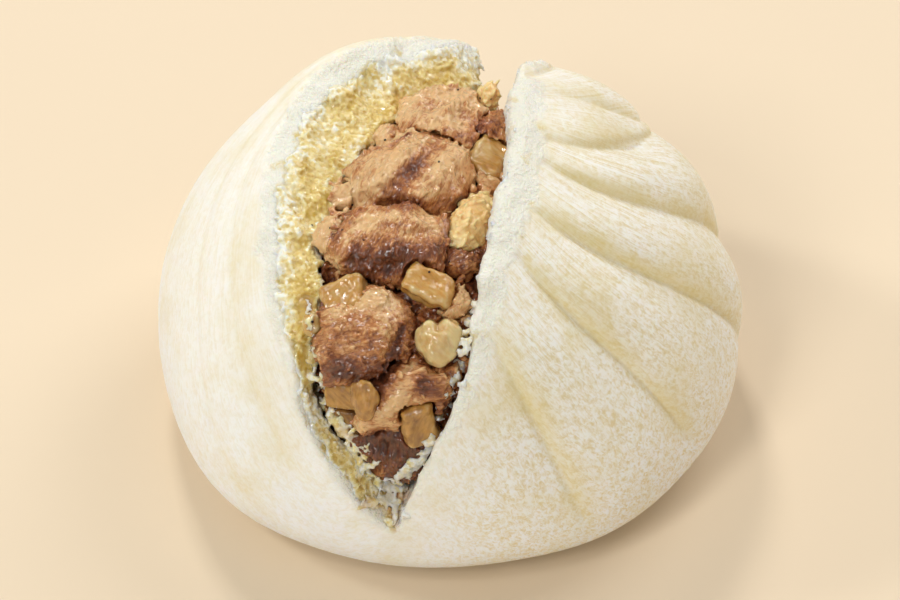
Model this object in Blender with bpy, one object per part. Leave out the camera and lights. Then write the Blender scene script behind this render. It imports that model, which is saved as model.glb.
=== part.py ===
"""Steamed bun of white wheat dough, pleated and torn open over its crown.

The bun stands on its flat base at z = 0, with its axis on Z and its front at -Y.
A vertical tear runs from low on the front, over the crown and down the back.
The coarse pork and onion filling fills the hollow dough and shows in the tear.
"""
import bisect
import math

import bmesh
import bpy
import numpy as np
from mathutils import Vector, noise

MM = 0.001
WELD_DISTANCE = 0.000002
# Halving a stretch this often finds a surface to within a hundredth of a micrometre
SEARCH_STEPS = 22
SEARCH_REACH = 70.0

# Bun's outer shape, in millimetres
BUN_RADIUS = 47.5
BELLY_HEIGHT = 17.0
CROWN_RISE = 47.0
CROWN_POWER = 1.8
BELLY_DROP = 19.0
BELLY_POWER = 3.4
SKIN_UNEVENNESS = 0.5
SKIN_UNEVENNESS_SIZE = 22.0
# Soft lumps of the hand-shaped dough: place on the skin, rise and spread
DOUGH_LUMPS = (
    ((-17.0, 20.0, 56.0), 2.6, 13.0),
    ((-33.0, -34.0, 13.0), 1.4, 14.0),
    ((-46.0, -12.0, 24.0), -0.9, 12.0),
    ((30.0, 6.0, 50.0), -1.3, 6.0),
)

# Pleats folded by hand round the crown: each fold's azimuth at the belly and how much it turns
PLEAT_FOLDS = (
    (25.3, 0.72), (53.8, 1.03), (85.4, 1.4), (109.4, 1.36), (153.9, 2.02), (124.3, 0.3),
    (178.0, 1.2), (203.0, 1.2), (228.0, 1.2), (252.0, 1.2), (275.0, 1.25), (300.0, 1.3),
    (335.2, 1.54), (350.5, 1.46),
)
# Where two folds would cross, they run down side by side this far apart
FOLDS_APART_DEG = 5.0
TWIST_DEG_PER_MM = 0.55
TWIST_DEG_PER_MM3 = 0.00022
PLEAT_DEPTH = 1.7
# A narrow pleat rises by this share of its width
PLEAT_DEPTH_PER_WIDTH = 0.12
PLEAT_DEPTH_VARIES = 0.3
# Pleats are this share as deep on the smooth left half and beside the tear's right lip
PLEAT_SMOOTH_SHARE = 0.28
PLEAT_SMOOTH_TO = 13.0
PLEAT_DEEP_FROM = 26.0
# They deepen to this share again round the back of the left half
PLEAT_BACK_SHARE = 0.75
PLEAT_BACK_FROM = 2.0
PLEAT_BACK_TO = 26.0
# A pleat rises steeply from its fold, and all lie this share of their depth lower
PLEAT_LEAN = 0.72
PLEAT_SINK_SHARE = 0.55
PLEAT_SINK_REACH = 14.0
PLEAT_LOW_HEIGHT = 5.0
PLEAT_FULL_HEIGHT = 30.0
# Each half's pleats gather at a pole of its own, because the tear pulled them apart
POLE_LEFT = (-8.0, 20.0)
POLE_RIGHT = (0.0, 0.0)
HALVES_MEET_FROM = -10.0
HALVES_MEET_TO = 8.0

# Tear: its plane is turned from the front, and angles are measured round a level line
# through its middle, 0 at the front, 90 at the crown and 180 at the back
TEAR_TURN_DEG = -13.0
TEAR_AXIS_HEIGHT = 24.0
TEAR_START_DEG = -10.0
TEAR_END_DEG = 183.0
# Tear's edges: angle in degrees and place across the tear, where minus is the left
LEFT_SKIN_EDGE = ((-10, 2.0), (-7, -1.8), (-4, -4.2), (0, -6.4), (8, -12.3), (19, -17.0),
                  (33, -21.3), (50, -24.7), (74, -26.9), (95, -26.2), (109, -22.5), (120, -14.0),
                  (130, -7.2), (140, -3.8), (150, -4.4), (163, -6.0), (172, -5.0), (183, -3.2))
LEFT_INNER_EDGE = ((-10, 2.2), (-7, -0.6), (-4, -2.6), (0, -5.0), (4, -7.8), (8, -10.0),
                   (16, -11.3), (38, -12.6), (60, -13.8), (80, -12.6), (98, -11.2), (112, -9.0),
                   (120, -2.8), (128, 1.2), (138, 1.6), (150, -1.6), (163, -4.6), (172, -4.0),
                   (183, -2.8))
RIGHT_LIP = ((-10, 3.2), (-7, 3.2), (4, 6.1), (13, 9.0), (24, 10.9), (47, 10.3), (64, 10.4),
             (78, 10.8), (90, 9.4), (101, 8.0), (116, 8.0), (130, 8.8), (142, 7.6),
             (154, 5.4), (165, 3.4), (174, 0.6), (183, -1.4))
RIGHT_LIP_WIDTH = ((-10, 0.6), (13, 1.6), (34, 3.6), (60, 6.2), (90, 6.0), (112, 4.0),
                   (130, 2.0), (183, 0.8))
# How far the lip's edge lies under the skin, as a share of the lip's width
LIP_DROP_SHARE = 0.43
# The tear's solid ends this far outside the skin, with its sides spread by these shares
TEAR_OVERCUT = 5.0
LEFT_OVERCUT_SHARES = (0.8, 2.4)
RIGHT_OVERCUT_SPREAD = 0.4
# The tear's floor lies in the filling, this share of the way out to its surface
TEAR_FLOOR_SHARE = 0.86
# Torn left ledge from the filling out to the skin: share of the way and swelling
LEFT_LEDGE = ((0.3, 0.1), (0.6, 0.5), (0.85, 0.7), (1.0, 0.0))
# The right wall leans back under its lip by this much at the filling
RIGHT_UNDERCUT = 0.8
# The lip is rounded: at this share of its width it has risen by that share of its drop
LIP_ROUND_AT = 0.3
LIP_ROUND_RISE = 0.62
CRUMB_RELIEF = 1.5
CRUMB_SIZE = 4.6
CRUMB_FINE_SIZE = 2.1
CRUMB_FINE_SHARE = 0.55
# The relief moves a wall across the tear and into the dough by these shares
CRUMB_LEAN_ACROSS = 0.6
CRUMB_LEAN_IN = 0.8
# Both walls come closer than this only at the tear's ends, where the relief fades
CRUMB_FULL_WIDTH = 8.0
# A narrower tear for the filling's room keeps at least this share open at each side
INSET_LIMIT = 0.3

# Filling's envelope: an uneven swollen lump, longer towards the tear's front end
FILLING_MIDDLE_ALONG = 4.0
FILLING_MIDDLE_ACROSS = -2.0
FILLING_MIDDLE_HEIGHT = 26.0
FILLING_FRONT = 36.5
FILLING_BACK = 34.0
FILLING_UP = 26.5
FILLING_DOWN = 17.0
FILLING_SIDE = 24.0
FILLING_POWER = 2.5
FILLING_ACROSS_POWER = 2.2
FILLING_UNEVENNESS = 0.5
FILLING_UNEVENNESS_RATE = 3.0
FIT_GAP = 0.35
# How far the minced core lies under the pieces that show on it
CORE_DEPTH = 2.5
# The core sinks over this stretch inside the tear's edges, and at the tear's two ends
BARE_FROM = -3.0
BARE_TO = 2.0
BARE_FRONT_DEG = (-14.0, -2.0)
BARE_BACK_DEG = (182.0, 160.0)

# Mesh fineness
BUN_SEGMENTS = 71
BUN_RINGS = 33
TEAR_STEPS_ALONG = 42
TEAR_STEPS_DEEP = 7
TEAR_STEPS_ACROSS = 4
HOLLOW_FINENESS = 3
CORE_FINENESS = 2
CHUNK_FINENESS = 3
CHUNK_ROUGHNESS = 0.24
BIT_ROUGHNESS = 0.14
ONION_LUMP_ROUGHNESS = 0.03
LUMP_POWER = 2.4
# Size of a lump's crags as a share of its smaller side, and their form
CRAG_SHARE = 0.4
CRAG_SHARPNESS = 1.6
CRAG_LIFT = 0.35
# Rounder unevenness between the crags: rate and strength of its two layers
LUMP_LAYERS = ((0.6, 1.0), (2.4, 0.4))
# Share of a piece's thickness that is seated in the core
SEAT_SHARE = 0.3
# Onion dice: rounded edge as a share of the smallest side, skew along and across the piece,
# taper and arch of a layer
DICE_ROUNDING = 0.16
DICE_SKEW_LONG = 0.24
DICE_SKEW_WIDE = 0.32
DICE_TAPER = 0.1
DICE_ARCH = 0.9
SLIVER_TAPER = 1.1
SLIVER_CUP = 0.24
BIT_FINENESS = 2
# Pieces of meat shorter than this keep their whole shape where they meet larger ones
SMALL_PIECE = 10.0
SHARP_FROM_DEG = 50.0

# Meat: name, across, angle, lift, length, width, thickness and turn in degrees
PORK_PIECES = (
    ("pork_chunk_top", -2.5, 105.4, 1.6, 15.6, 18.0, 11.0, 8.0),
    ("pork_chunk_crown", -4.8, 75.8, 1.6, 21.5, 17.6, 11.0, 24.0),
    ("pork_chunk_upper", -4.1, 53.0, 0.8, 20.5, 13.0, 10.0, 6.0),
    ("pork_chunk_middle", -5.6, 28.5, 0.9, 15.0, 18.0, 11.0, 12.0),
    ("pork_chunk_lower", 1.8, 16.5, 0.3, 19.0, 10.5, 10.0, 40.0),
    ("pork_chunk_bottom", -1.2, 0.2, -0.3, 17.5, 13.0, 9.0, 10.0),
    ("pork_bit_crown_right", 5.8, 107.0, 2.0, 6.6, 9.5, 6.0, 0.0),
    ("pork_bit_right", 7.0, 52.5, -0.4, 6.0, 6.5, 5.0, 10.0),
    ("pork_bit_tan", 7.6, 40.0, 0.4, 5.2, 6.4, 5.0, -15.0),
    ("pork_bit_low_right", 8.4, 22.0, -0.1, 5.0, 8.0, 5.0, 0.0),
    ("pork_bit_pink", -13.2, 52.0, 1.5, 6.8, 7.0, 5.4, 0.0),
    ("pork_bit_crown_left", -10.2, 95.0, 1.0, 5.0, 7.0, 5.0, 0.0),
)
FAT_PIECES = (
    ("fat_bit_right", 6.9, 65.0, 0.7, 6.4, 12.0, 5.5, -12.0),
    ("fat_bit_top", 2.7, 117.0, 4.4, 3.4, 4.6, 6.4, 0.0),
)
# Onion: the same columns, with the flat face outwards
ONION_DICE = (
    ("onion_dice_crown", 6.2, 93.0, 1.0, 6.0, 8.0, 4.5, -8.0),
    ("onion_dice_upper", 3.1, 42.8, 1.6, 7.8, 5.0, 3.6, -12.0),
    ("onion_dice_left", -9.4, 36.6, 1.1, 7.0, 6.2, 4.0, 28.0),
    ("onion_dice_low_right", 4.6, 12.2, 2.3, 5.4, 6.8, 3.8, 16.0),
    ("onion_dice_low_left", -7.4, 15.5, 0.5, 6.6, 5.0, 4.0, 6.0),
    ("onion_dice_deep_left", -7.6, 8.0, 0.2, 7.4, 5.4, 4.5, -6.0),
)
ONION_LUMPS = (
    ("onion_lump_pale", 6.2, 30.5, 1.7, 7.4, 7.8, 6.0, 0.0),
    ("onion_lump_left", -12.8, 29.4, 2.2, 3.8, 4.0, 3.6, 0.0),
)
ONION_SLIVER = ("onion_sliver", -3.4, 17.0, 3.5, 5.4, 7.4, 2.4, 10.0)

COLOURS = {
    "steamed_dough": ((0.83, 0.77, 0.62), 0.55),
    "cooked_pork": ((0.36, 0.19, 0.12), 0.38),
    "pork_fat": ((0.66, 0.44, 0.21), 0.35),
    "cooked_onion": ((0.52, 0.39, 0.19), 0.22),
}

TURN = math.radians(TEAR_TURN_DEG)
ALONG = np.array((math.sin(TURN), -math.cos(TURN), 0.0))
ACROSS = np.array((math.cos(TURN), math.sin(TURN), 0.0))
UPWARDS = np.array((0.0, 0.0, 1.0))


def smooth_step(low, high, value):
    """Rises from 0 at low to 1 at high without corners."""
    part = np.clip((value - low) / (high - low), 0.0, 1.0)
    return part * part * (3.0 - 2.0 * part)


def read_curve(curve, angle):
    """Reads a curve of (angle, value) points at an angle."""
    return float(np.interp(angle, [p[0] for p in curve], [p[1] for p in curve]))


def bun_reach(direction):
    """Distance from the belly's middle to the plain dome along a unit direction."""
    level = math.hypot(direction[0], direction[1]) / BUN_RADIUS
    rise, power = (CROWN_RISE, CROWN_POWER) if direction[2] > 0 else (BELLY_DROP, BELLY_POWER)
    return (level ** power + (abs(direction[2]) / rise) ** power) ** (-1.0 / power)


def fold_azimuths(rise):
    """Azimuths of the folds at a height over the belly, in order round the bun."""
    turn = TWIST_DEG_PER_MM * rise + TWIST_DEG_PER_MM3 * max(rise, 0.0) ** 3
    found = []
    for base, share in PLEAT_FOLDS:
        azimuth = base - share * turn
        found.append(max(azimuth, found[-1] + FOLDS_APART_DEG) if found else azimuth)
    return found + [found[0] + 360.0]


def pleat_height(place):
    """Height of the pleats over the plain dome at a place on it."""
    x, y, z = place
    across = float(np.dot(place, ACROSS))
    side = float(smooth_step(HALVES_MEET_FROM, HALVES_MEET_TO, across))
    pole_x = POLE_LEFT[0] + side * (POLE_RIGHT[0] - POLE_LEFT[0])
    pole_y = POLE_LEFT[1] + side * (POLE_RIGHT[1] - POLE_LEFT[1])
    reach = math.hypot(x - pole_x, y - pole_y)
    folds = fold_azimuths(z - BELLY_HEIGHT)
    azimuth = math.degrees(math.atan2(x - pole_x, pole_y - y))
    azimuth = folds[0] + (azimuth - folds[0]) % 360.0
    index = min(bisect.bisect_right(folds, azimuth), len(PLEAT_FOLDS)) - 1
    width_deg = folds[index + 1] - folds[index]
    part = (azimuth - folds[index]) / width_deg
    depth = min(PLEAT_DEPTH, PLEAT_DEPTH_PER_WIDTH * math.radians(width_deg) * reach)
    depth *= 1.0 + PLEAT_DEPTH_VARIES * noise.noise(Vector((index * 3.1, 0.0, 7.0)))
    deep = float(smooth_step(PLEAT_SMOOTH_TO, PLEAT_DEEP_FROM, across))
    behind = float(smooth_step(PLEAT_BACK_FROM, PLEAT_BACK_TO, -np.dot(place, ALONG)))
    deep = max(deep, PLEAT_BACK_SHARE * behind)
    share = PLEAT_SMOOTH_SHARE + (1.0 - PLEAT_SMOOTH_SHARE) * deep
    share *= float(smooth_step(PLEAT_LOW_HEIGHT, PLEAT_FULL_HEIGHT, z))
    sink = PLEAT_SINK_SHARE * PLEAT_DEPTH * min(1.0, reach / PLEAT_SINK_REACH)
    return share * (depth * math.sin(math.pi * part ** PLEAT_LEAN) - sink)


def bun_skin_point(direction):
    """Point of the pleated, lumpy skin along a unit direction from the belly's middle."""
    reach = bun_reach(direction)
    middle = np.array((0.0, 0.0, BELLY_HEIGHT))
    place = middle + reach * direction
    reach += pleat_height(place)
    for lump, rise, spread in DOUGH_LUMPS:
        gap = np.linalg.norm(place - np.array(lump)) / spread
        reach += rise * math.exp(-gap * gap)
    reach += SKIN_UNEVENNESS * noise.noise(Vector(place) / SKIN_UNEVENNESS_SIZE)
    place = middle + reach * direction
    place[2] = max(place[2], 0.0)
    return place


def filling_level(place):
    """Below 1 inside the filling's envelope and above 1 outside it."""
    along = np.dot(place, ALONG) - FILLING_MIDDLE_ALONG
    across = np.dot(place, ACROSS) - FILLING_MIDDLE_ACROSS
    up = place[2] - FILLING_MIDDLE_HEIGHT
    along_part = abs(along) / (FILLING_FRONT if along > 0 else FILLING_BACK)
    up_part = abs(up) / (FILLING_UP if up > 0 else FILLING_DOWN)
    across_part = abs(across) / FILLING_SIDE
    return along_part ** FILLING_POWER + up_part ** FILLING_POWER + across_part ** FILLING_ACROSS_POWER


def dome_level(place):
    """Below 1 inside the plain dome and above 1 outside it."""
    up = place[2] - BELLY_HEIGHT
    rise, power = (CROWN_RISE, CROWN_POWER) if up > 0 else (BELLY_DROP, BELLY_POWER)
    return (math.hypot(place[0], place[1]) / BUN_RADIUS) ** power + (abs(up) / rise) ** power


def tear_point(across, reach, angle_deg):
    """Place at an angle round the tear's level line, a reach out from it."""
    angle = math.radians(angle_deg)
    place = across * ACROSS + reach * (math.cos(angle) * ALONG + math.sin(angle) * UPWARDS)
    place[2] += TEAR_AXIS_HEIGHT
    return place


def reach_of(level, across, angle_deg):
    """Reach from the tear's level line at which a level function passes 1."""
    low, high = 0.0, SEARCH_REACH
    for _ in range(SEARCH_STEPS):
        middle = (low + high) / 2
        if level(tear_point(across, middle, angle_deg)) < 1.0:
            low = middle
        else:
            high = middle
    return low


def tear_walls(angle_deg):
    """Both torn walls at an angle, each a line of (across, reach) from deep to past the skin."""
    left_skin = read_curve(LEFT_SKIN_EDGE, angle_deg)
    left_deep = read_curve(LEFT_INNER_EDGE, angle_deg)
    lip = read_curve(RIGHT_LIP, angle_deg)
    right_skin = lip + read_curve(RIGHT_LIP_WIDTH, angle_deg)
    left_meat = reach_of(filling_level, left_deep, angle_deg)
    right_meat = reach_of(filling_level, lip, angle_deg)
    left_top = reach_of(dome_level, left_skin, angle_deg)
    lip_width = right_skin - lip
    lip_drop = LIP_DROP_SHARE * lip_width
    lip_top = reach_of(dome_level, lip, angle_deg) - lip_drop
    right_top = reach_of(dome_level, right_skin, angle_deg)
    left = [(left_deep + RIGHT_UNDERCUT, left_meat * TEAR_FLOOR_SHARE), (left_deep, left_meat)]
    for part, bulge in LEFT_LEDGE:
        left.append((left_deep + part * (left_skin - left_deep),
                     left_meat + part * (left_top - left_meat) + bulge))
    for share in LEFT_OVERCUT_SHARES:
        left.append((left_skin - TEAR_OVERCUT, left_top + TEAR_OVERCUT * share))
    right = [(lip, right_meat * TEAR_FLOOR_SHARE), (lip + RIGHT_UNDERCUT, right_meat),
             (lip + RIGHT_UNDERCUT / 2, (lip_top + right_meat) / 2), (lip, lip_top),
             (lip + LIP_ROUND_AT * lip_width, lip_top + LIP_ROUND_RISE * lip_drop),
             (right_skin, right_top),
             (right_skin + RIGHT_OVERCUT_SPREAD * TEAR_OVERCUT, right_top + TEAR_OVERCUT),
             (right_skin + RIGHT_OVERCUT_SPREAD * TEAR_OVERCUT, right_top + 2.0 * TEAR_OVERCUT)]
    return left, right


def crumb_shift(place):
    """Relief of the torn crumb at a place, in millimetres."""
    coarse = noise.noise(Vector(place) / CRUMB_SIZE)
    fine = noise.noise(Vector(place) / CRUMB_FINE_SIZE + Vector((9.0, 3.0, 5.0)))
    return CRUMB_RELIEF * (coarse + CRUMB_FINE_SHARE * fine)


def object_from_bmesh(name, body, collection):
    """Makes an object from a bmesh whose points are in millimetres."""
    if body.calc_volume(signed=True) < 0:
        bmesh.ops.reverse_faces(body, faces=body.faces)
    bmesh.ops.scale(body, vec=(MM, MM, MM), verts=body.verts)
    mesh = bpy.data.meshes.new(name)
    body.to_mesh(mesh)
    body.free()
    thing = bpy.data.objects.new(name, mesh)
    collection.objects.link(thing)
    return thing


def make_bun(collection):
    """Whole bun before it is torn: a sphere whose points are moved to the pleated skin."""
    body = bmesh.new()
    bmesh.ops.create_uvsphere(body, u_segments=BUN_SEGMENTS, v_segments=BUN_RINGS, radius=1.0)
    for vert in body.verts:
        direction = np.array(vert.co)
        direction /= np.linalg.norm(direction)
        vert.co = bun_skin_point(direction)
    return object_from_bmesh("bun_dough", body, collection)


def make_tear(name, shrink, collection):
    """Solid that the tear takes away: a block bent round the bun between the torn walls."""
    body = bmesh.new()
    bmesh.ops.create_cube(body, size=2.0)
    steps = (TEAR_STEPS_ALONG, TEAR_STEPS_DEEP, TEAR_STEPS_ACROSS)
    for axis, count in enumerate(steps):
        edges = [e for e in body.edges if abs((e.verts[0].co - e.verts[1].co)[axis]) > 1.9]
        bmesh.ops.subdivide_edges(body, edges=edges, cuts=count - 1, use_grid_fill=True)
    walls = {}
    for vert in body.verts:
        along = round((vert.co.x + 1) / 2 * TEAR_STEPS_ALONG)
        deep = round((vert.co.y + 1) / 2 * TEAR_STEPS_DEEP)
        part = (vert.co.z + 1) / 2
        angle = TEAR_START_DEG + (TEAR_END_DEG - TEAR_START_DEG) * along / TEAR_STEPS_ALONG
        if along not in walls:
            walls[along] = tear_walls(angle)
        left, right = walls[along][0][deep], walls[along][1][deep]
        across = left[0] + part * (right[0] - left[0])
        reach = left[1] + part * (right[1] - left[1])
        place = tear_point(across, reach, angle)
        if part < 0.01 or part > 0.99:
            side = 1.0 if part > 0.99 else -1.0
            outward = (place - tear_point(across, 0.0, angle)) / reach
            if 0 < deep < TEAR_STEPS_DEEP - 1:
                full = min(1.0, abs(right[0] - left[0]) / CRUMB_FULL_WIDTH)
                lean = CRUMB_LEAN_ACROSS * side * ACROSS - CRUMB_LEAN_IN * outward
                place = place + lean * crumb_shift(place) * full
            inset = min(shrink, INSET_LIMIT * abs(right[0] - left[0]))
            place = place + inset * (outward - side * ACROSS)
        vert.co = place
    return object_from_bmesh(name, body, collection)


def open_share(place):
    """1 on the filling where the tear lays it bare, and 0 well under the dough."""
    across = float(np.dot(place, ACROSS))
    along = float(np.dot(place, ALONG))
    angle = math.degrees(math.atan2(place[2] - TEAR_AXIS_HEIGHT, along))
    left = smooth_step(BARE_FROM, BARE_TO, across - read_curve(LEFT_INNER_EDGE, angle))
    right = smooth_step(BARE_FROM, BARE_TO, read_curve(RIGHT_LIP, angle) - across)
    ends = smooth_step(*BARE_FRONT_DEG, angle) * smooth_step(*BARE_BACK_DEG, angle)
    return float(left * right * ends)


def make_envelope(name, grow, sink, subdivisions, collection):
    """Filling's envelope: a ball moved out to the filling's surface, and sunk where it is bare."""
    body = bmesh.new()
    bmesh.ops.create_icosphere(body, subdivisions=subdivisions, radius=1.0)
    middle = FILLING_MIDDLE_ALONG * ALONG + FILLING_MIDDLE_ACROSS * ACROSS
    middle = middle + FILLING_MIDDLE_HEIGHT * UPWARDS
    for vert in body.verts:
        direction = np.array(vert.co)
        direction /= np.linalg.norm(direction)
        low, high = 0.0, SEARCH_REACH
        for _ in range(SEARCH_STEPS):
            reach = (low + high) / 2
            if filling_level(middle + reach * direction) < 1.0:
                low = reach
            else:
                high = reach
        low += grow
        low += FILLING_UNEVENNESS * noise.noise(Vector(direction) * FILLING_UNEVENNESS_RATE)
        vert.co = middle + (low - sink * open_share(middle + low * direction)) * direction
    return object_from_bmesh(name, body, collection)


def piece_frame(across, angle_deg, lift, turn_deg):
    """Middle of a filling piece, and its length, width and outward directions."""
    reach = reach_of(filling_level, across, angle_deg)
    spot = tear_point(across, reach, angle_deg)
    step = 1.0
    ahead = tear_point(across, reach_of(filling_level, across, angle_deg + step), angle_deg + step)
    aside = tear_point(across + step, reach_of(filling_level, across + step, angle_deg), angle_deg)
    width_way = (ahead - spot) / np.linalg.norm(ahead - spot)
    outward = np.cross(aside - spot, width_way)
    outward /= np.linalg.norm(outward)
    length_way = np.cross(width_way, outward)
    turn = math.radians(turn_deg)
    long_way = math.cos(turn) * length_way + math.sin(turn) * width_way
    short_way = math.cos(turn) * width_way - math.sin(turn) * length_way
    return spot + lift * outward, long_way, short_way, outward


def grow_body(body, grow):
    """Moves every point of a bmesh out along its normal."""
    if grow:
        body.normal_update()
        moves = [vert.normal * grow for vert in body.verts]
        for vert, move in zip(body.verts, moves):
            vert.co += move


def make_lump(name, row, grow, roughness, subdivisions, collection):
    """Lump of meat, fat or onion: a ball stretched to its size, with an uneven surface."""
    _, across, angle, lift, length, width, thick, turn = row
    middle, long_way, short_way, outward = piece_frame(across, angle, lift - SEAT_SHARE * thick, turn)
    body = bmesh.new()
    bmesh.ops.create_icosphere(body, subdivisions=subdivisions, radius=1.0)
    crag = CRAG_SHARE * min(length, width)
    for vert in body.verts:
        unit = np.array(vert.co)
        squared = unit / (np.abs(unit) ** LUMP_POWER).sum() ** (1 / LUMP_POWER)
        place = (squared[0] * length / 2 * long_way + squared[1] * width / 2 * short_way
                 + squared[2] * thick / 2 * outward)
        seat = Vector(middle + place)
        rough = sum(strength * noise.noise(seat * rate / crag) for rate, strength in LUMP_LAYERS)
        rough += CRAG_LIFT - CRAG_SHARPNESS * abs(noise.noise(seat / crag))
        vert.co = middle + place * (1.0 + roughness * rough)
    grow_body(body, grow)
    return object_from_bmesh(name, body, collection)


def make_dice(name, row, grow, collection):
    """Piece of chopped onion: a block with rounded edges, a little skewed."""
    _, across, angle, lift, length, width, thick, turn = row
    middle, long_way, short_way, outward = piece_frame(across, angle, lift - SEAT_SHARE * thick, turn)
    body = bmesh.new()
    bmesh.ops.create_cube(body, size=1.0)
    skew = noise.noise(Vector((across, angle, 1.0)))
    for vert in body.verts:
        x, y, z = vert.co
        long_share = 1.0 - DICE_SKEW_LONG * skew * y
        wide_share = 1.0 + DICE_SKEW_WIDE * skew * x + DICE_TAPER * z
        vert.co = Vector((x * length * long_share, y * width * wide_share, z * thick))
    rounding = min(length, width, thick) * DICE_ROUNDING
    bmesh.ops.bevel(body, geom=body.edges[:], offset=rounding, segments=1, affect="EDGES")
    for vert in body.verts:
        x, y, z = vert.co
        arch = DICE_ARCH * (x / length) ** 2 * thick
        vert.co = middle + x * long_way + y * short_way + (z - arch) * outward
    bmesh.ops.triangulate(body, faces=body.faces)
    grow_body(body, grow)
    return object_from_bmesh(name, body, collection)


def make_sliver(name, row, grow, collection):
    """Leaf-shaped sliver of onion: a flattened ball with a pointed end, cupped along its length."""
    _, across, angle, lift, length, width, thick, turn = row
    middle, long_way, short_way, outward = piece_frame(across, angle, lift - SEAT_SHARE * thick, turn)
    body = bmesh.new()
    bmesh.ops.create_icosphere(body, subdivisions=2, radius=0.5)
    for vert in body.verts:
        x, y, z = vert.co
        taper = 1.0 - SLIVER_TAPER * max(-y, 0.0)
        cup = SLIVER_CUP * (2 * x) ** 2
        vert.co = (middle + x * length * taper * long_way + y * width * short_way
                   + (z - cup) * thick * outward)
    grow_body(body, grow)
    return object_from_bmesh(name, body, collection)


def settle(thing):
    """Replaces an object's modifiers with their result, welded, without fins or loose scraps."""
    graph = bpy.context.evaluated_depsgraph_get()
    mesh = bpy.data.meshes.new_from_object(thing.evaluated_get(graph))
    thing.modifiers.clear()
    body = bmesh.new()
    body.from_mesh(mesh)
    bmesh.ops.triangulate(body, faces=body.faces)
    bmesh.ops.remove_doubles(body, verts=body.verts, dist=WELD_DISTANCE)
    corners = {}
    for face in body.faces:
        corners.setdefault(frozenset(face.verts), []).append(face)
    fins = [face for faces in corners.values() if len(faces) > 1 for face in faces]
    bmesh.ops.delete(body, geom=fins, context="FACES")
    groups = []
    unseen = set(body.verts)
    while unseen:
        group = [unseen.pop()]
        for vert in group:
            for edge in vert.link_edges:
                other = edge.other_vert(vert)
                if other in unseen:
                    unseen.discard(other)
                    group.append(other)
        groups.append(group)
    groups.sort(key=len)
    for group in groups[:-1]:
        bmesh.ops.delete(body, geom=group, context="VERTS")
    body.to_mesh(mesh)
    body.free()
    thing.data = mesh


def cut(thing, tools, operation="DIFFERENCE", solver="EXACT"):
    """Cuts an object with each tool in turn, or joins it to or limits it to one tool."""
    for tool in tools:
        boolean = thing.modifiers.new(tool.name, "BOOLEAN")
        boolean.operation = operation
        boolean.object = tool
        boolean.solver = solver
    settle(thing)


def boxes_meet(first, second):
    """True where the boxes round two objects overlap."""
    one = np.array([point.co[:] for point in first.data.vertices])
    other = np.array([point.co[:] for point in second.data.vertices])
    return bool((one.min(0) <= other.max(0)).all() and (one.max(0) >= other.min(0)).all())


def make_material(name):
    """Principled material with one of the part's colours."""
    colour, roughness = COLOURS[name]
    material = bpy.data.materials.new(name)
    material.use_nodes = True
    shader = material.node_tree.nodes["Principled BSDF"]
    shader.inputs["Base Color"].default_value = (*colour, 1.0)
    shader.inputs["Roughness"].default_value = roughness
    shader.inputs["Metallic"].default_value = 0.0
    return material


def new_collection(name):
    """Collection linked to the scene."""
    collection = bpy.data.collections.new(name)
    bpy.context.scene.collection.children.link(collection)
    return collection


def filling_rows():
    """Every piece of the filling, first those that keep their whole shape."""
    rows = [(row, "sliver", "cooked_onion") for row in (ONION_SLIVER,)]
    rows += [(row, "onion_lump", "cooked_onion") for row in ONION_LUMPS]
    rows += [(row, "dice", "cooked_onion") for row in ONION_DICE]
    rows += [(row, "bit", "pork_fat") for row in FAT_PIECES]
    small = [row for row in PORK_PIECES if row[4] < SMALL_PIECE]
    large = [row for row in PORK_PIECES if row[4] >= SMALL_PIECE]
    rows += [(row, "bit", "cooked_pork") for row in small]
    rows += [(row, "chunk", "cooked_pork") for row in reversed(large)]
    return rows


def make_piece(name, row, shape, grow, collection):
    """One piece of the filling at its true size, or grown for use as a cutter."""
    if shape == "dice":
        return make_dice(name, row, grow, collection)
    if shape == "sliver":
        return make_sliver(name, row, grow, collection)
    if shape == "onion_lump":
        return make_lump(name, row, grow, ONION_LUMP_ROUGHNESS, BIT_FINENESS, collection)
    if shape == "bit":
        return make_lump(name, row, grow, BIT_ROUGHNESS, BIT_FINENESS, collection)
    return make_lump(name, row, grow, CHUNK_ROUGHNESS, CHUNK_FINENESS, collection)


def main():
    """Builds the bun and its filling."""
    for thing in list(bpy.data.objects):
        bpy.data.objects.remove(thing)
    parts = new_collection("pork_bun")
    cutters = new_collection("cutters")
    materials = {name: make_material(name) for name in COLOURS}

    bun = make_bun(parts)
    tear = make_tear("tear_cutter", 0.0, cutters)
    hollow = make_envelope("hollow_cutter", 0.0, 0.0, HOLLOW_FINENESS, cutters)
    room = make_tear("room_limit", FIT_GAP, cutters)
    room_hollow = make_envelope("room_hollow", -FIT_GAP, 0.0, HOLLOW_FINENESS, cutters)
    cut(bun, [tear, hollow])
    bun.data.materials.append(materials["steamed_dough"])
    # The exact solver returns nothing for this union
    cut(room, [room_hollow], "UNION", "MANIFOLD")

    core = make_envelope("pork_filling", -FIT_GAP, CORE_DEPTH, CORE_FINENESS, parts)
    core.data.materials.append(materials["cooked_pork"])
    placed = []
    for row, shape, material in filling_rows():
        piece = make_piece(row[0], row, shape, 0.0, parts)
        grown = make_piece(row[0] + "_grown", row, shape, FIT_GAP, cutters)
        near = [other for other in placed if boxes_meet(piece, other)]
        cut(piece, [room], "INTERSECT")
        if near:
            cut(piece, near)
        piece.data.materials.append(materials[material])
        placed.append(grown)
    cut(core, placed)

    for thing in cutters.objects:
        thing.hide_render = True
        thing.display_type = "WIRE"
    for thing in parts.objects:
        thing.data.shade_smooth()
        thing.data.set_sharp_from_angle(angle=math.radians(SHARP_FROM_DEG))


main()
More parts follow.
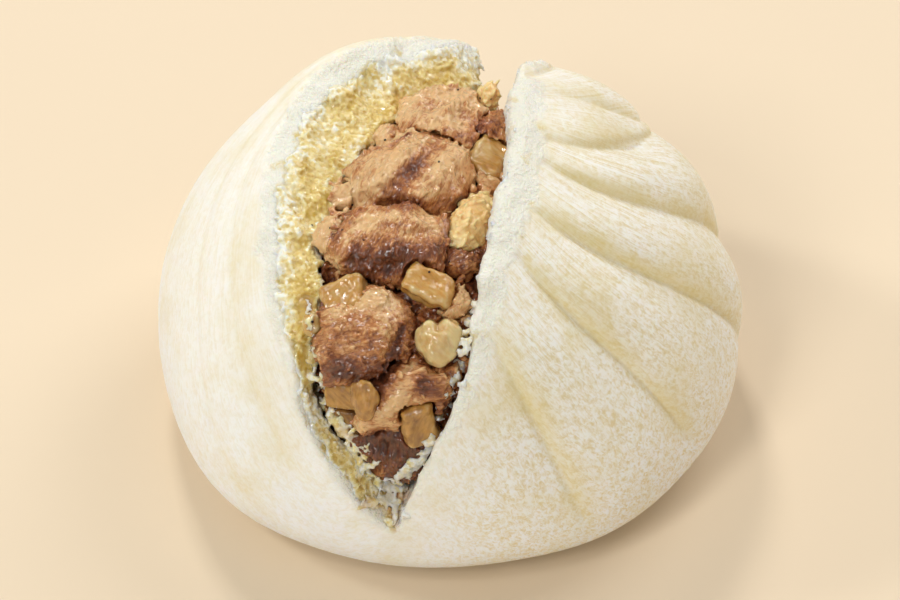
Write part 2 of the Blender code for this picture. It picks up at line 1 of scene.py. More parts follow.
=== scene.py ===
"""Steamed pork bun of white wheat dough, pleated by hand, torn open over its crown.

The dough is made fresh from the same values as the solid, with a fine pleated skin and an
open crumb where it is torn. The filling's pieces start from the solids and get their fibres,
crags and wet surface here.
"""
import math

import bmesh
import bpy
import numpy as np
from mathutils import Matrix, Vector, bvhtree, noise


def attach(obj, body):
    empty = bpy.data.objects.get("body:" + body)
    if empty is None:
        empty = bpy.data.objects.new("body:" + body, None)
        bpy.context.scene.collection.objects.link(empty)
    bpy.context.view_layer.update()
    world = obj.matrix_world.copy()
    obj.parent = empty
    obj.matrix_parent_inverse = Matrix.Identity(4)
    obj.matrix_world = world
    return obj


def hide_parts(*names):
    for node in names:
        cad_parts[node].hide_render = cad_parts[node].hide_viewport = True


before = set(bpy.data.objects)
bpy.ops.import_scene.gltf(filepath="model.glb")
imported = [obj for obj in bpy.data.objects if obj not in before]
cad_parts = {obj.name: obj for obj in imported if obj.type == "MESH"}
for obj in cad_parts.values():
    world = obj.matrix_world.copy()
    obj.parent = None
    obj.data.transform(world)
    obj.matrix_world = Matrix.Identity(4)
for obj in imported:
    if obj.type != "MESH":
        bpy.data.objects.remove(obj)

bl_info = {
    "name": "Torn pork bun",
    "version": (1, 0, 0),
    "blender": (4, 5, 0),
    "location": "View3D > Sidebar > Pork bun",
    "description": "Models a pleated steamed bun, torn open over its pork and onion filling",
    "category": "Add Mesh",
}

# A millimetre in metres, and the scale of a pattern that repeats once to the millimetre
MM = 0.001
PER_MM = 1 / MM

# Bun's skin, in millimetres and degrees
BUN_RADIUS = 47.5
BELLY_HEIGHT = 17.0
CROWN_RISE = 47.0
CROWN_POWER = 1.8
BELLY_DROP = 19.0
BELLY_POWER = 3.4
SKIN_UNEVENNESS = 0.5
SKIN_UNEVENNESS_SIZE = 22.0
# lumps of the dough: middle, rise and spread
DOUGH_LUMPS = (
    ((-17.0, 20.0, 56.0), 2.6, 13.0),
    ((-33.0, -34.0, 13.0), 1.4, 14.0),
    ((-46.0, -12.0, 24.0), -0.9, 12.0),
    ((30.0, 6.0, 50.0), -1.3, 6.0),
)
# folds between the pleats: azimuth at the belly's height and share of the twist
PLEAT_FOLDS = (
    (25.3, 0.72), (53.8, 1.03), (85.4, 1.4), (109.4, 1.36), (153.9, 2.02), (124.3, 0.3),
    (178.0, 1.2), (203.0, 1.2), (228.0, 1.2), (252.0, 1.2), (275.0, 1.25), (300.0, 1.3),
    (335.2, 1.54), (350.5, 1.46),
)
FOLDS_APART_DEG = 5.0
TWIST_DEG_PER_MM = 0.55
TWIST_DEG_PER_MM3 = 0.00022
PLEAT_DEPTH = 1.7
PLEAT_DEPTH_PER_WIDTH = 0.12
PLEAT_DEPTH_VARIES = 0.3
PLEAT_SMOOTH_SHARE = 0.28
PLEAT_SMOOTH_TO = 13.0
PLEAT_DEEP_FROM = 26.0
PLEAT_BACK_SHARE = 0.75
PLEAT_BACK_FROM = 2.0
PLEAT_BACK_TO = 26.0
PLEAT_LEAN = 0.72
PLEAT_SINK_SHARE = 0.55
PLEAT_SINK_REACH = 14.0
PLEAT_LOW_HEIGHT = 5.0
PLEAT_FULL_HEIGHT = 30.0
POLE_LEFT = (-8.0, 20.0)
POLE_RIGHT = (0.0, 0.0)
HALVES_MEET_FROM = -10.0
HALVES_MEET_TO = 8.0

# Skin's fine mesh and relief, in millimetres
SKIN_SEGMENTS = 384
SKIN_RINGS = 190
FINE_NEAR_FOLD = 2.0
GROOVE_WIDTH = 0.9
FOLD_SHADE_WIDTH = 3.2
SILK_SIZE = 1.7
SILK_HEIGHT = 0.05
ON_SKIN_WITHIN = 2.2

# Tear: edges by angle round its level line, and place across it
TEAR_TURN_DEG = -13.0
TEAR_AXIS_HEIGHT = 24.0
TEAR_START_DEG = -10.0
TEAR_END_DEG = 183.0
LEFT_SKIN_EDGE = ((-10, 2.0), (-7, -1.8), (-4, -4.2), (0, -6.4), (8, -12.3), (19, -17.0),
                  (33, -21.3), (50, -24.7), (74, -26.9), (95, -26.2), (109, -22.5), (120, -14.0),
                  (130, -7.2), (140, -3.8), (150, -4.4), (163, -6.0), (172, -5.0), (183, -3.2))
LEFT_INNER_EDGE = ((-10, 2.2), (-7, -0.6), (-4, -2.6), (0, -5.0), (4, -7.8), (8, -10.0),
                   (16, -11.3), (38, -12.6), (60, -13.8), (80, -12.6), (98, -11.2), (112, -9.0),
                   (120, -2.8), (128, 1.2), (138, 1.6), (150, -1.6), (163, -4.6), (172, -4.0),
                   (183, -2.8))
RIGHT_LIP = ((-10, 3.2), (-7, 3.2), (4, 6.1), (13, 9.0), (24, 10.9), (47, 10.3), (64, 10.4),
             (78, 10.8), (90, 9.4), (101, 8.0), (116, 8.0), (130, 8.8), (142, 7.6),
             (154, 5.4), (165, 3.4), (174, 0.6), (183, -1.4))
RIGHT_LIP_WIDTH = ((-10, 0.6), (13, 1.6), (34, 3.6), (60, 6.2), (90, 6.0), (112, 4.0),
                   (130, 2.0), (183, 0.8))
LIP_DROP_SHARE = 0.43
TEAR_OVERCUT = 5.0
TEAR_FLOOR_SHARE = 0.86
# steps of the tear's block along it, from deep to the skin, and across
TEAR_STEPS = (160, 49, 6)
# ledge of the left wall: share of the way out and bulge
LEFT_LEDGE = ((0.3, 0.1), (0.6, 0.5), (0.85, 0.7), (1.0, 0.0))
RIGHT_UNDERCUT = 0.8
LIP_ROUND_AT = 0.3
LIP_ROUND_RISE = 0.62
CRUMB_RELIEF = 1.5
CRUMB_SIZE = 4.6
CRUMB_FINE_SIZE = 2.1
CRUMB_FINE_SHARE = 0.55
CRUMB_FULL_WIDTH = 8.0
CRUMB_LEAN = 0.6
CRUMB_OUTWARD = 0.8
BEND_ROUNDING = 0.35

# Filling's envelope
FILLING_MIDDLE_ALONG = 4.0
FILLING_MIDDLE_ACROSS = -2.0
FILLING_MIDDLE_HEIGHT = 26.0
FILLING_FRONT = 36.5
FILLING_BACK = 34.0
FILLING_UP = 26.5
FILLING_DOWN = 17.0
FILLING_SIDE = 24.0
FILLING_POWER = 2.5
FILLING_ACROSS_POWER = 2.2
HOLLOW_UNEVENNESS = 0.5

TURN = math.radians(TEAR_TURN_DEG)
ALONG = np.array((math.sin(TURN), -math.cos(TURN), 0.0))
ACROSS = np.array((math.cos(TURN), math.sin(TURN), 0.0))
UPWARDS = np.array((0.0, 0.0, 1.0))
BELLY_MIDDLE = np.array((0.0, 0.0, BELLY_HEIGHT))

# Pieces of the filling by kind
CHUNKS = ("pork_chunk_top", "pork_chunk_crown", "pork_chunk_upper", "pork_chunk_middle",
          "pork_chunk_lower", "pork_chunk_bottom")
BITS = ("pork_bit_crown_right", "pork_bit_right", "pork_bit_tan", "pork_bit_low_right",
        "pork_bit_pink", "pork_bit_crown_left")
FAT = ("fat_bit_right", "fat_bit_top")
ONION = ("onion_dice_crown", "onion_dice_upper", "onion_dice_left", "onion_dice_low_right",
         "onion_dice_low_left", "onion_dice_deep_left", "onion_lump_pale", "onion_lump_left",
         "onion_sliver")

# How dark each piece of meat is, from 0 pale to 1 dark brown: its cooked colour, with painted shade on
# the bottom chunk and on the core seen between the pieces
DARKNESS = {
    "pork_chunk_top": 0.32, "pork_chunk_crown": 0.42, "pork_chunk_upper": 0.54,
    "pork_chunk_middle": 0.58, "pork_chunk_lower": 0.5, "pork_chunk_bottom": 0.84,
    "pork_bit_crown_right": 0.6, "pork_bit_right": 0.75, "pork_bit_tan": 0.14,
    "pork_bit_low_right": 0.6, "pork_bit_pink": 0.1, "pork_bit_crown_left": 0.28,
    "pork_filling": 0.85,
}

# Way of the onion's layer lines, down to the right unless named
ONION_WAY = (0.7, -0.48, -0.52)
ONION_WAYS = {"onion_sliver": (0.15, 0.6, 0.75), "onion_dice_low_right": (0.3, 0.6, 0.7),
              "onion_dice_left": (0.7, 0.48, 0.52)}
# How pale each piece of onion is, from 0 soaked with juice to 1 pale
ONION_PALENESS = {
    "onion_lump_pale": 0.82, "onion_lump_left": 0.55, "onion_sliver": 0.26,
    "onion_dice_upper": 0.46, "onion_dice_low_right": 0.3, "onion_dice_left": 0.5,
    "onion_dice_crown": 0.5, "onion_dice_low_left": 0.36, "onion_dice_deep_left": 0.12,
}
# Way of the meat's fibres, up the bun and to the right
FIBRE_WAY = (0.55, 0.5, 0.55)

# How minced the surface of a piece of meat is, from 0 smooth to 1 all grains
MINCED = {
    "pork_chunk_top": 0.95, "pork_chunk_crown": 0.6, "pork_chunk_upper": 0.7,
    "pork_chunk_middle": 0.85, "pork_chunk_lower": 0.8, "pork_chunk_bottom": 0.3,
}

# Soft strokes between two pixels of the picture: x0, y0, x1, y1, half width, strength.
# Where the meat is browner (above 0) or paler (below 0): partly its own browner patches, partly painted
# shade in its hollows and painted light on its raised edges
BROWN_AND_SHADE_STROKES = (
    (432, 146, 412, 170, 11, 0.3), (412, 170, 384, 204, 13, 0.34), (400, 206, 425, 206, 8, 0.2),
    (440, 207, 462, 198, 9, 0.35), (378, 186, 404, 150, 8, -0.3), (404, 150, 424, 133, 7, -0.3),
    (445, 140, 470, 150, 6, -0.2), (425, 190, 445, 165, 11, -0.16), (446, 130, 474, 142, 6, 0.3),
    (398, 118, 420, 128, 7, -0.1), (440, 95, 470, 100, 8, -0.15), (404, 136, 412, 128, 4, 0.3),
    (358, 256, 392, 262, 15, 0.45), (404, 252, 440, 250, 11, 0.38), (365, 276, 385, 274, 9, 0.3),
    (346, 238, 366, 221, 6, -0.3), (366, 221, 396, 212, 6, -0.34), (396, 214, 428, 216, 8, -0.3),
    (334, 268, 346, 246, 5, -0.3), (426, 214, 442, 236, 5, -0.15), (338, 312, 372, 297, 8, -0.36),
    (372, 297, 394, 302, 9, -0.3), (330, 368, 386, 374, 14, 0.4), (403, 326, 396, 352, 5, 0.5),
    (396, 352, 382, 380, 8, 0.5), (376, 322, 392, 340, 10, -0.12), (404, 296, 414, 318, 7, 0.22),
    (364, 428, 396, 402, 7, -0.22), (396, 402, 414, 366, 8, -0.2), (352, 434, 364, 424, 6, -0.3),
    (425, 384, 446, 404, 9, 0.35), (412, 372, 420, 386, 6, 0.2), (436, 370, 450, 378, 7, -0.1),
    (372, 436, 410, 440, 7, 0.3), (350, 450, 420, 452, 16, 0.25), (370, 470, 360, 462, 7, 0.3),
)
# Where juice makes meat and fat amber
AMBER_STROKES = (
    (474, 158, 466, 192, 8, 0.5), (466, 104, 482, 118, 10, 0.4), (430, 96, 442, 92, 7, 0.3),
    (470, 130, 482, 138, 7, 0.35), (384, 92, 400, 100, 6, 0.3), (424, 214, 434, 222, 6, 0.25),
    (330, 262, 336, 274, 5, 0.35), (455, 302, 466, 312, 7, 0.3), (404, 378, 424, 390, 7, 0.25),
)
# Where the meat is hollowed (above 0) or raised (below 0), in millimetres
HOLLOW_STROKES = (
    (430, 148, 410, 174, 12, 0.5), (410, 174, 386, 202, 12, 0.55), (402, 264, 404, 244, 4, 0.7),
    (360, 262, 392, 266, 10, 0.7), (374, 190, 404, 150, 6, -0.35), (362, 426, 398, 402, 7, -0.5),
    (398, 402, 414, 370, 7, -0.4), (402, 330, 392, 356, 5, 0.6), (392, 236, 398, 252, 3, -0.3),
    (340, 312, 372, 298, 7, -0.35), (436, 168, 420, 190, 8, -0.3), (392, 352, 380, 380, 7, 0.5),
)
# Where the onion is hollowed, in millimetres
ONION_STROKES = (
    (437, 312, 439, 327, 5, 1.1), (412, 354, 422, 364, 5, 0.6), (452, 366, 464, 354, 5, 0.6),
    (446, 330, 452, 350, 3, 0.25), (352, 276, 356, 292, 3, 0.3), (366, 386, 368, 400, 2, 0.2),
)
# Where painted shade makes the skin yellower and darker, in the hollows beside the folds
FOLD_SHADE_STROKES = (
    (528, 262, 560, 312, 7, 0.55), (560, 225, 600, 250, 9, 0.35), (600, 240, 640, 268, 10, 0.35),
    (596, 106, 618, 108, 5, 0.6), (590, 122, 630, 138, 12, 0.4), (580, 146, 620, 147, 4, 0.4),
    (562, 172, 592, 184, 7, 0.4), (600, 190, 640, 200, 9, 0.3), (505, 335, 512, 395, 13, 0.4),
    (480, 420, 470, 480, 18, 0.22), (570, 70, 600, 90, 10, 0.3), (560, 320, 580, 345, 10, 0.4),
    (560, 350, 575, 380, 7, 0.25), (700, 150, 700, 180, 16, 0.12), (680, 300, 712, 330, 12, 0.25),
)
# Where the torn crumb is yellow
YELLOW_STROKES = (
    (408, 72, 446, 66, 12, 0.5), (364, 78, 372, 70, 9, 0.4), (334, 108, 352, 98, 9, 0.35),
    (384, 128, 372, 140, 8, 0.5), (396, 98, 406, 112, 6, 0.6), (300, 138, 312, 130, 8, 0.35),
    (304, 168, 308, 182, 9, 0.45), (320, 198, 314, 212, 7, 0.6), (276, 186, 280, 196, 6, 0.25),
    (300, 286, 306, 312, 8, 0.8), (279, 280, 283, 286, 4, 0.35), (330, 160, 348, 138, 6, 0.3),
    (320, 340, 326, 350, 5, 0.6), (296, 352, 304, 364, 5, 0.4), (292, 236, 298, 246, 5, 0.3),
    (316, 392, 384, 508, 11, -0.35), (296, 330, 310, 378, 9, 0.3), (400, 62, 478, 62, 14, -0.3),
)
# Where juice has soaked the torn crumb brown
JUICE_STROKES = (
    (326, 256, 330, 268, 5, 0.5), (306, 300, 312, 312, 6, 0.45), (322, 342, 326, 350, 4, 0.5),
    (398, 96, 408, 116, 4, 0.35), (380, 140, 376, 148, 5, 0.35), (388, 492, 404, 494, 7, 0.55),
    (372, 502, 392, 512, 5, 0.35), (392, 502, 390, 508, 3, 0.5), (514, 108, 518, 122, 7, 0.06),
    (314, 390, 372, 490, 10, -0.5),
)

# Specks of ground pepper: their pixels in the picture and size in millimetres
PEPPER_SPECKS = (
    (458, 90, 0.5), (352, 205, 0.55), (364, 240, 0.5), (439, 162, 0.45), (385, 140, 0.45),
    (449, 262, 0.5), (429, 272, 0.5), (312, 322, 0.55), (330, 228, 0.6), (342, 230, 0.45),
    (312, 225, 0.5), (480, 98, 0.4), (491, 99, 0.4), (398, 346, 0.35), (372, 268, 0.35),
)

# Where flakes of crumb lie on the tear's low edges: x0, y0, x1, y1, half width, how many
FLAKE_STROKES = (
    (376, 484, 404, 486, 7, 160), (398, 476, 420, 460, 6, 120), (368, 500, 398, 502, 6, 90),
    (392, 506, 395, 522, 2, 24), (358, 508, 372, 500, 3, 24), (420, 462, 434, 440, 3, 50),
    (310, 374, 324, 408, 4, 60), (324, 408, 346, 440, 4, 60), (346, 440, 370, 474, 5, 80),
    (308, 300, 314, 372, 4, 60),
)
# Where crumb bridges the gap between the left wall and the filling: x0, y0, x1, y1
CRUMB_BRIDGES = (
    (311, 378, 324, 374), (314, 387, 327, 383), (317, 396, 331, 391), (321, 404, 335, 399),
    (326, 412, 340, 406), (331, 420, 345, 414), (336, 427, 350, 421), (342, 434, 356, 428),
    (348, 441, 362, 435), (354, 448, 368, 443), (361, 456, 374, 450), (367, 464, 380, 458),
)
# Where crumb hangs from the right lip onto the filling: x0, y0, x1, y1
LIP_BRIDGES = (
    (485, 300, 471, 303), (483, 309, 469, 312), (481, 318, 466, 322), (478, 328, 463, 332),
    (475, 338, 460, 342), (472, 348, 457, 352), (469, 358, 454, 362), (465, 368, 451, 372),
    (461, 378, 448, 382), (456, 390, 443, 394), (451, 402, 438, 406), (446, 414, 433, 418),
    (441, 426, 428, 430), (436, 438, 423, 442), (431, 448, 420, 452),
)
# Where mince bridges a hole between two pieces: x0, y0, x1, y1
MINCE_BRIDGES = (
    (334, 184, 354, 184), (333, 187, 354, 188), (332, 193, 353, 194), (331, 199, 352, 200),
    (332, 190, 353, 190), (331, 196, 352, 197), (330, 202, 351, 204),
    (329, 208, 349, 211), (327, 214, 345, 218), (325, 220, 341, 226), (338, 178, 357, 177),
    (322, 258, 332, 262), (320, 266, 331, 270), (318, 272, 330, 278), (398, 127, 400, 139),
    (406, 127, 409, 139), (414, 128, 418, 140), (422, 130, 427, 142), (430, 133, 436, 146),
)

# Camera: looks down at the bun's front from the photograph's height
CAMERA_ELEVATION_DEG = 42.5
CAMERA_DISTANCE = 0.6
CAMERA_AIM = (0.33, 0.0, 17.0)
CAMERA_AIM_UP = 3.1
SENSOR_WIDTH = 36.0
PIXELS_PER_MM = 6.13
IMAGE_WIDTH = 900
IMAGE_MIDDLE = (450, 300)

# Lamps shine at a place in the bun's middle, in metres
LAMPS_AIM = (0.0, 0.0, 0.03)


def linear_colour(code):
    """Linear colour with alpha from an sRGB hex code."""
    parts = [int(code[i:i + 2], 16) / 255 for i in (1, 3, 5)]
    return tuple(v / 12.92 if v <= 0.04045 else ((v + 0.055) / 1.055) ** 2.4 for v in parts) + (1.0,)


def smooth_step(low, high, value):
    """Rises from 0 at low to 1 at high without corners."""
    part = np.clip((np.asarray(value, float) - low) / (high - low), 0.0, 1.0)
    return part * part * (3.0 - 2.0 * part)


def curve_at(curve, angle):
    """Reads a curve of (angle, value) points at angles."""
    return np.interp(angle, [p[0] for p in curve], [p[1] for p in curve])


def rough(places, size, seed=0.0):
    """Noise from -1 to 1 at each place, with bumps of the given size in millimetres."""
    shift = Vector((seed, seed * 1.7, -seed))
    return np.array([noise.noise(Vector(p) / size + shift) for p in places])


def crater(places, size, seed=0.0):
    """0 in the middle of each cell of a cell pattern and about 1 on its walls."""
    shift = Vector((seed, -seed, seed * 0.6))
    found = [noise.voronoi(Vector(p) / size + shift)[0] for p in places]
    return np.array([d[0] / max(d[1], 1e-6) for d in found])


# The bun's skin, the filling's envelope and the torn walls, by the solid's own rules

def bun_reach(directions):
    """Distances from the belly's middle to the plain dome along unit directions."""
    level = np.hypot(directions[:, 0], directions[:, 1]) / BUN_RADIUS
    up = directions[:, 2] > 0
    rise = np.where(up, CROWN_RISE, BELLY_DROP)
    power = np.where(up, CROWN_POWER, BELLY_POWER)
    return (level ** power + (np.abs(directions[:, 2]) / rise) ** power) ** (-1.0 / power)


def pleat_place(places):
    """Each place's pleat number, share of the way over it, its width, reach and turned azimuth."""
    side = smooth_step(HALVES_MEET_FROM, HALVES_MEET_TO, places @ ACROSS)
    pole_x = POLE_LEFT[0] + side * (POLE_RIGHT[0] - POLE_LEFT[0])
    pole_y = POLE_LEFT[1] + side * (POLE_RIGHT[1] - POLE_LEFT[1])
    reach = np.hypot(places[:, 0] - pole_x, places[:, 1] - pole_y)
    rise = places[:, 2] - BELLY_HEIGHT
    turn = TWIST_DEG_PER_MM * rise + TWIST_DEG_PER_MM3 * np.maximum(rise, 0.0) ** 3
    folds = []
    for base, share in PLEAT_FOLDS:
        azimuth = base - share * turn
        folds.append(np.maximum(azimuth, folds[-1] + FOLDS_APART_DEG) if folds else azimuth)
    folds = np.stack([*folds, folds[0] + 360.0], axis=1)
    azimuth = np.degrees(np.arctan2(places[:, 0] - pole_x, pole_y - places[:, 1]))
    azimuth = folds[:, 0] + (azimuth - folds[:, 0]) % 360.0
    index = np.clip((folds <= azimuth[:, None]).sum(axis=1) - 1, 0, len(PLEAT_FOLDS) - 1)
    rows = np.arange(len(places))
    width = folds[rows, index + 1] - folds[rows, index]
    part = (azimuth - folds[rows, index]) / width
    return index, part, np.radians(width) * reach, reach, azimuth + turn


def pleat_share(places):
    """How deep the pleats are at each place, from 0 to 1."""
    deep = smooth_step(PLEAT_SMOOTH_TO, PLEAT_DEEP_FROM, places @ ACROSS)
    behind = smooth_step(PLEAT_BACK_FROM, PLEAT_BACK_TO, -(places @ ALONG))
    deep = np.maximum(deep, PLEAT_BACK_SHARE * behind)
    share = PLEAT_SMOOTH_SHARE + (1.0 - PLEAT_SMOOTH_SHARE) * deep
    return share * smooth_step(PLEAT_LOW_HEIGHT, PLEAT_FULL_HEIGHT, places[:, 2])


def pleat_height(places):
    """Height of the pleats over the plain dome at places on it."""
    index, part, width, reach, _ = pleat_place(places)
    own = np.array([noise.noise(Vector((k * 3.1, 0.0, 7.0))) for k in range(len(PLEAT_FOLDS))])
    depth = np.minimum(PLEAT_DEPTH, PLEAT_DEPTH_PER_WIDTH * width)
    depth = depth * (1.0 + PLEAT_DEPTH_VARIES * own[index])
    sink = PLEAT_SINK_SHARE * PLEAT_DEPTH * np.minimum(1.0, reach / PLEAT_SINK_REACH)
    return pleat_share(places) * (depth * np.sin(np.pi * part ** PLEAT_LEAN) - sink)


def skin_points(directions):
    """Points of the pleated, lumpy skin along unit directions from the belly's middle."""
    reach = bun_reach(directions)
    places = BELLY_MIDDLE + reach[:, None] * directions
    reach = reach + pleat_height(places)
    for lump, rise, spread in DOUGH_LUMPS:
        gap = np.linalg.norm(places - np.array(lump), axis=1) / spread
        reach = reach + rise * np.exp(-gap * gap)
    reach = reach + SKIN_UNEVENNESS * rough(places, SKIN_UNEVENNESS_SIZE)
    places = BELLY_MIDDLE + reach[:, None] * directions
    places[:, 2] = np.maximum(places[:, 2], 0.0)
    return places


def filling_level(place):
    """Below 1 inside the filling's envelope and above 1 outside it."""
    along = place @ ALONG - FILLING_MIDDLE_ALONG
    across = place @ ACROSS - FILLING_MIDDLE_ACROSS
    up = place[2] - FILLING_MIDDLE_HEIGHT
    along_part = abs(along) / (FILLING_FRONT if along > 0 else FILLING_BACK)
    up_part = abs(up) / (FILLING_UP if up > 0 else FILLING_DOWN)
    return (along_part ** FILLING_POWER + up_part ** FILLING_POWER
            + (abs(across) / FILLING_SIDE) ** FILLING_ACROSS_POWER)


def dome_level(place):
    """Below 1 inside the plain dome and above 1 outside it."""
    up = place[2] - BELLY_HEIGHT
    rise, power = (CROWN_RISE, CROWN_POWER) if up > 0 else (BELLY_DROP, BELLY_POWER)
    return (math.hypot(place[0], place[1]) / BUN_RADIUS) ** power + (abs(up) / rise) ** power


def tear_point(across, reach, angle_deg):
    """Place at an angle round the tear's level line, a reach out from it."""
    angle = math.radians(angle_deg)
    place = across * ACROSS + reach * (math.cos(angle) * ALONG + math.sin(angle) * UPWARDS)
    place[2] += TEAR_AXIS_HEIGHT
    return place


def reach_of(level, across, angle_deg):
    """Reach from the tear's level line at which a level function passes 1."""
    low, high = 0.0, 70.0
    for _ in range(20):
        middle = (low + high) / 2
        if level(tear_point(across, middle, angle_deg)) < 1.0:
            low = middle
        else:
            high = middle
    return low


def tear_walls(angle):
    """Both torn walls at an angle, each a line of (across, reach) from deep to past the skin."""
    left_skin = curve_at(LEFT_SKIN_EDGE, angle)
    left_deep = curve_at(LEFT_INNER_EDGE, angle)
    lip = curve_at(RIGHT_LIP, angle)
    lip_width = curve_at(RIGHT_LIP_WIDTH, angle)
    right_skin = lip + lip_width
    left_meat = reach_of(filling_level, left_deep, angle)
    right_meat = reach_of(filling_level, lip, angle)
    left_top = reach_of(dome_level, left_skin, angle)
    lip_drop = LIP_DROP_SHARE * lip_width
    lip_top = reach_of(dome_level, lip, angle) - lip_drop
    right_top = reach_of(dome_level, right_skin, angle)
    left = [(left_deep + RIGHT_UNDERCUT, left_meat * TEAR_FLOOR_SHARE), (left_deep, left_meat)]
    for part, bulge in LEFT_LEDGE:
        left.append((left_deep + part * (left_skin - left_deep),
                     left_meat + part * (left_top - left_meat) + bulge))
    left.append((left_skin - TEAR_OVERCUT, left_top + TEAR_OVERCUT * 0.8))
    left.append((left_skin - TEAR_OVERCUT, left_top + TEAR_OVERCUT * 2.4))
    right = [(lip, right_meat * TEAR_FLOOR_SHARE), (lip + RIGHT_UNDERCUT, right_meat),
             (lip + RIGHT_UNDERCUT / 2, (lip_top + right_meat) / 2), (lip, lip_top),
             (lip + LIP_ROUND_AT * lip_width, lip_top + LIP_ROUND_RISE * lip_drop),
             (right_skin, right_top),
             (right_skin + 0.4 * TEAR_OVERCUT, right_top + TEAR_OVERCUT),
             (right_skin + 0.4 * TEAR_OVERCUT, right_top + 2.0 * TEAR_OVERCUT)]
    return np.array(left), np.array(right)


# Mesh helpers

def pick_only(thing):
    """Selects one object alone and makes it active."""
    bpy.ops.object.select_all(action="DESELECT")
    thing.select_set(True)
    bpy.context.view_layer.objects.active = thing


def mesh_points(mesh):
    """Mesh's points in millimetres."""
    places = np.empty(len(mesh.vertices) * 3)
    mesh.vertices.foreach_get("co", places)
    return places.reshape(-1, 3) / MM


def set_points(mesh, places):
    """Sets a mesh's points from millimetres."""
    mesh.vertices.foreach_set("co", (places * MM).ravel())
    mesh.update()


def mesh_normals(mesh):
    """Mesh's point normals."""
    normals = np.empty(len(mesh.vertices) * 3)
    mesh.vertices.foreach_get("normal", normals)
    return normals.reshape(-1, 3)


def set_attribute(mesh, name, values):
    """Writes one number, or one vector, for each point of a mesh."""
    kind, field = ("FLOAT", "value") if np.ndim(values) == 1 else ("FLOAT_VECTOR", "vector")
    layer = mesh.attributes.get(name) or mesh.attributes.new(name, kind, "POINT")
    layer.data.foreach_set(field, np.asarray(values, float).ravel())


def get_attribute(mesh, name):
    """Reads one number for each point of a mesh."""
    values = np.empty(len(mesh.vertices))
    mesh.attributes[name].data.foreach_get("value", values)
    return values


def spread_out(mesh, values, rounds):
    """Evens values out over neighbouring points."""
    edges = np.empty(len(mesh.edges) * 2, int)
    mesh.edges.foreach_get("vertices", edges)
    first, second = edges.reshape(-1, 2).T
    count = np.bincount(first, minlength=len(values)) + np.bincount(second, minlength=len(values))
    for _ in range(rounds):
        total = np.bincount(first, values[second], len(values))
        total = total + np.bincount(second, values[first], len(values))
        values = 0.5 * values + 0.5 * total / np.maximum(count, 1)
    return values


def smooth_points(mesh, places, rounds):
    """Places evened out over their neighbours in a mesh."""
    return np.stack([spread_out(mesh, places[:, axis], rounds) for axis in range(3)], axis=1)


def even_out(mesh, rounds):
    """Evens a mesh's points out over their neighbours and returns their new places."""
    places = smooth_points(mesh, mesh_points(mesh), rounds)
    set_points(mesh, places)
    return places


def relief(mesh, places, rounds):
    """How far each point of a mesh stands out over its evened surface, in millimetres."""
    return ((places - smooth_points(mesh, places, rounds)) * mesh_normals(mesh)).sum(axis=1)


def new_object(name, data):
    """Adds an object with its data to the scene."""
    thing = bpy.data.objects.new(name, data)
    bpy.context.scene.collection.objects.link(thing)
    return thing


def apply_modifier(thing, kind, **settings):
    """Adds a modifier with its settings and applies it."""
    pick_only(thing)
    modifier = thing.modifiers.new(kind.lower(), kind)
    for name, value in settings.items():
        setattr(modifier, name, value)
    bpy.ops.object.modifier_apply(modifier=modifier.name)


def select_faces(mesh, wanted):
    """Selects the faces of a mesh that a mask names, and no others."""
    mesh.vertices.foreach_set("select", np.zeros(len(mesh.vertices), bool))
    mesh.edges.foreach_set("select", np.zeros(len(mesh.edges), bool))
    mesh.polygons.foreach_set("select", wanted)


def face_values(mesh, values):
    """Largest of a value over each face's points."""
    loops = np.empty(len(mesh.loops), int)
    mesh.loops.foreach_get("vertex_index", loops)
    starts = np.empty(len(mesh.polygons), int)
    mesh.polygons.foreach_get("loop_start", starts)
    return np.maximum.reduceat(values[loops], starts)


def divide_faces(thing, wanted):
    """Subdivides the wanted faces in edit mode."""
    pick_only(thing)
    bpy.ops.object.mode_set(mode="OBJECT")
    select_faces(thing.data, wanted)
    bpy.ops.object.mode_set(mode="EDIT")
    bpy.ops.mesh.select_mode(type="FACE")
    bpy.ops.mesh.subdivide(number_cuts=1, smoothness=0.0)
    bpy.ops.mesh.select_all(action="SELECT")
    bpy.ops.mesh.quads_convert_to_tris()
    bpy.ops.object.mode_set(mode="OBJECT")


def node_copy(node, name):
    """Piece that starts as a merged copy of a solid's mesh."""
    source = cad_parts[node]
    mesh = source.data.copy()
    mesh.name = name
    mesh.materials.clear()
    piece = new_object(name, mesh)
    pick_only(piece)
    bpy.ops.object.mode_set(mode="EDIT")
    bpy.ops.mesh.select_all(action="SELECT")
    bpy.ops.mesh.remove_doubles(threshold=0.00002)
    bpy.ops.object.mode_set(mode="OBJECT")
    return piece


def finish_piece(piece, nodes=()):
    """Shades a piece smooth and ties it to the bun."""
    pick_only(piece)
    bpy.ops.object.shade_smooth()
    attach(piece, "root")
    if nodes:
        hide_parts(*nodes)


def node_tree_of(node):
    """Search tree over a solid, in millimetres."""
    body = bmesh.new()
    body.from_mesh(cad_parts[node].data)
    bmesh.ops.scale(body, vec=(1 / MM, 1 / MM, 1 / MM), verts=body.verts)
    tree = bvhtree.BVHTree.FromBMesh(body)
    body.free()
    return tree


def gaps_to(trees, places, limit):
    """Distance from each place to the nearest of some solids, up to a limit."""
    gaps = np.full(len(places), float(limit))
    for tree in trees:
        for index, place in enumerate(places):
            hit = tree.find_nearest(Vector(place), gaps[index])
            if hit[0] is not None:
                gaps[index] = min(gaps[index], hit[3])
    return gaps


def camera_frame():
    """Camera's place, view direction, right and up, with its place in millimetres."""
    rise = math.radians(CAMERA_ELEVATION_DEG)
    up = np.array((0.0, math.sin(rise), math.cos(rise)))
    view = np.array((0.0, math.cos(rise), -math.sin(rise)))
    aim = np.array(CAMERA_AIM) + CAMERA_AIM_UP * up
    return aim - view * CAMERA_DISTANCE / MM, view, np.array((1.0, 0.0, 0.0)), up


